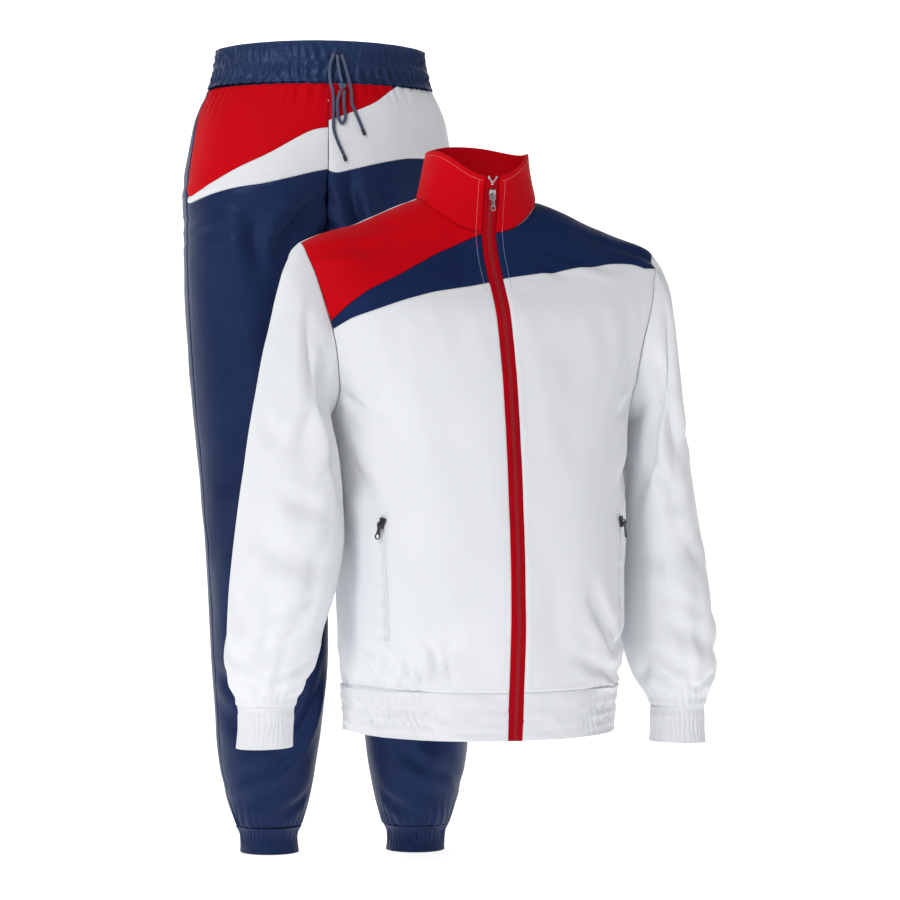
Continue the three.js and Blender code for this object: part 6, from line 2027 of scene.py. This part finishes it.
# Drawstring on the front of the waistband: x, z, and out from the cloth to the cord's centre.
STRANDS = {
    "cord_right": [
        [6.5, 205, 0.5], [6, 203, 3.6], [1.9, 189, 3.2], [1.9, 170, 2.8], [5.6, 153, 2.8], [5.8, 122, 2.8],
        [6.3, 107, 2.8], [11.6, 91, 2.8], [19, 75, 2.8],
    ],
    "cord_left": [
        [17.5, 203, 0.5], [18, 201, 3.6], [23, 185, 3.2], [28.9, 158, 2.8], [29.7, 143, 2.8],
        [32.7, 134, 2.8], [40, 117, 2.8], [43, 109.5, 2.8],
    ],
    "cord_bow": [[11.5, 203, 0.5], [11.8, 201, 3.6], [12.5, 190, 4.4], [15, 176, 5], [16.8, 169.1, 5.2]],
    "cord_loop": [
        [14.6, 157.8, 5], [12, 148, 4], [11, 138, 3.2], [12.4, 122, 2.8], [16.8, 115.5, 2.8],
        [21, 122, 2.8], [19.6, 138, 3.2], [19.4, 148, 4], [19.9, 157.7, 5],
    ],
}


@dataclass
class Drawstring:
    """Tied waist cord: two free ends with bound tips, a bow's loop and its knot."""

    finishes: Wardrobe
    diameter: float = 4.0
    knot_at: tuple[float, float, float] = (17.3, 163.3, 5.2)
    tips: dict[str, tuple] = field(default_factory=lambda: {
        "tip_right": ((19.2, 74.6, 2.8), (21.8, 66.8, 2.8)), "tip_left": (
            (43.2, 109, 2.8), (46.4, 100.5, 2.8)
        ),
    })

    @staticmethod
    def in_front(route: Array) -> Array:
        """Points in front of the waistband or hip for x, z and out."""
        t = Trousers.row_at(route[:, 1])
        row = through(LEG, t)
        share = (np.abs(route[:, 0]) - MIDDLE_GAP - row[:, 1]) / row[:, 2]
        return np.stack([route[:, 0], row[:, 3] * np.sqrt(1 - share**2) - route[:, 2], route[:, 1]], -1)

    def strand(self, name: str) -> tuple[bpy.types.Object, Array]:
        """A cord's tube and the points that it follows, in metres."""
        stations = self.in_front(np.array(STRANDS[name], float))
        fine = through(stations, np.linspace(0, len(stations) - 1, 80))
        path = TROUSERS_AT.apply(fine)
        return tube_mesh(name + "_braid", path, self.diameter / 2 * MM, 14), path

    def make_knot(self) -> bpy.types.Object:
        """Knot of three crossing turns of the cord."""
        t = np.linspace(0, 2 * math.pi, 73)[:-1]
        turns = np.stack(
            [np.sin(t) + 1.7 * np.sin(2 * t), -0.75 * np.sin(3 * t), np.cos(t) - 1.7 * np.cos(2 * t)], -1
        )
        centre = self.in_front(np.array([self.knot_at], float))[0]
        path = TROUSERS_AT.apply(centre + turns * np.array([1.5, 1.7, 1.35]))
        path = np.concatenate([path, path[:2]])
        return tube_mesh("cord_knot_turns", path, 1.55 * MM, 10)

    def make_tip(self, name: str) -> bpy.types.Object:
        """Bound end of a cord with a rounded nose."""
        start, end = self.in_front(np.array(self.tips[name], float))
        shares = np.array([0, 0.04, 0.12, 0.3, 0.5, 0.7, 0.88, 0.95, 0.99, 1.0])
        widths = np.array([2.0, 2.25, 2.3, 2.3, 2.3, 2.25, 2.1, 1.7, 1.0, 0.4])
        return tube_mesh(
            name + "_binding", TROUSERS_AT.apply(lerp(start, end, shares[:, None])), widths * MM, 14
        )

    def build(self) -> None:
        cord, tip = self.finishes.slots[Slot.CORD], self.finishes.slots[Slot.TIP]
        tips = {name: dress(self.make_tip(name), tip, nodes=[name]) for name in self.tips}
        knot = dress(self.make_knot(), cord, nodes=["cord_knot"])
        ends = {
            "cord_right": ("bare", 0.141, [tips["tip_right"]]), "cord_left": (
                "bare", 0.103, [tips["tip_left"]]
            ),
            "cord_bow": ("knot", 0.037, [knot]), "cord_loop": ("knot", 0.09, []),
        }
        for name, (far_end, length, with_pieces) in ends.items():
            strand, path = self.strand(name)
            dress(strand, cord, nodes=[name])
            real = float(np.linalg.norm(np.diff(path, axis=0), axis=1).sum())
            log.info("%s is %.4f m long", name, real)
        self.make_eyelets()

    def make_eyelets(self) -> None:
        """Sewn eyelets where the cord leaves the waistband."""
        paths = []
        for x, half in ((6.5, 3.2), (14.5, 6.2)):
            turns = np.radians(np.linspace(0, 360, 40))
            loop = np.stack([x + half * np.cos(turns), 204 + 3.4 * np.sin(turns), np.full(40, 0.5)], -1)
            points = self.in_front(loop)
            paths.append((points, np.tile([0.0, -1.0, 0.0], (40, 1))))
        row = Row(Repeat.STITCH, pitch=0.9, length=0.8, width=2.0, height=0.9)
        dress(
            row.lay("cord_eyelets", paths, self.finishes.navy_thread, TROUSERS_AT),
            self.finishes.navy_thread,
        )


@dataclass
class Studio:
    """Camera at the photograph's angle, soft lights, floor and backdrop."""

    eye: tuple[float, float, float] = (-1.146, -3.632, -0.302)
    azimuth: float = -17.0
    lens: float = 125.0
    floor_z: float = -0.8275
    lights: tuple = (
        ("key", (-3.0, -2.6, 2.4), 1.2, 92.0), ("fill", (2.8, -2.6, 0.4), 2.6, 8.0), (
            "back", (0.3, 2.9, 2.6), 2.2, 14.0
        ),
    )

    def build_camera(self) -> None:
        """Makes the camera and sets it as the scene's."""
        data = bpy.data.cameras.new("camera")
        data.lens, data.sensor_width = self.lens, 36.0
        data.clip_start, data.clip_end = 0.1, 60.0
        camera = bpy.data.objects.new("camera", data)
        camera.location = self.eye
        camera.rotation_euler = (math.pi / 2, 0, math.radians(self.azimuth))
        bpy.context.scene.collection.objects.link(camera)
        bpy.context.scene.camera = camera

    def build_lights(self) -> None:
        """Soft boxes round the set, and an even pale surrounding."""
        for name, place, size, power in self.lights:
            light = bpy.data.lights.new(name, "AREA")
            light.size, light.energy = size, power
            holder = bpy.data.objects.new(name, light)
            holder.location = place
            aim = Vector((-0.05, 0.1, -0.3)) - Vector(place)
            holder.rotation_euler = aim.to_track_quat("-Z", "Y").to_euler()
            bpy.context.scene.collection.objects.link(holder)
        world = bpy.data.worlds.new("studio")
        world.use_nodes = True
        world.node_tree.nodes["Background"].inputs["Color"].default_value = (0.96, 0.98, 1.0, 1)
        world.node_tree.nodes["Background"].inputs["Strength"].default_value = 0.3
        bpy.context.scene.world = world
        bpy.context.scene.view_settings.view_transform = "Standard"

    def build_floor(self) -> None:
        """Pale floor that curves up into the backdrop."""
        xs = np.linspace(-9, 9, 13)
        profile = [(-7, 0), (4.5, 0)]
        profile += [
            (4.5 + 1.8 * math.sin(a), 1.8 - 1.8 * math.cos(a)) for a in np.linspace(0.15, math.pi / 2, 10)
        ]
        profile += [(6.3, 7.0)]
        points = np.array([[x, y, z + self.floor_z] for y, z in profile for x in xs])
        count = len(xs)
        faces = [
            (j * count + i, j * count + i + 1, (j + 1) * count + i + 1, (j + 1) * count + i)
            for j in range(len(profile) - 1) for i in range(count - 1)
        ]
        floor = new_mesh("floor", points, faces)
        material = bpy.data.materials.new("floor_white")
        material.use_nodes = True
        shader = material.node_tree.nodes["Principled BSDF"]
        shader.inputs["Base Color"].default_value = (0.9, 0.9, 0.9, 1)
        shader.inputs["Roughness"].default_value = 0.9
        shader.inputs["Emission Color"].default_value = (1, 1, 1, 1)
        shader.inputs["Emission Strength"].default_value = 0.7
        floor.data.materials.append(material)


def main() -> None:
    """Builds the camera, the cords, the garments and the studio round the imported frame."""
    logging.basicConfig(level=logging.INFO, format="%(message)s")
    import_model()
    studio = Studio()
    studio.build_camera()
    finishes = Wardrobe()
    Drawstring(finishes).build()
    Jacket(finishes).build()
    Trousers(finishes).build()
    studio.build_floor()
    studio.build_lights()


if __name__ == "__main__":
    main()
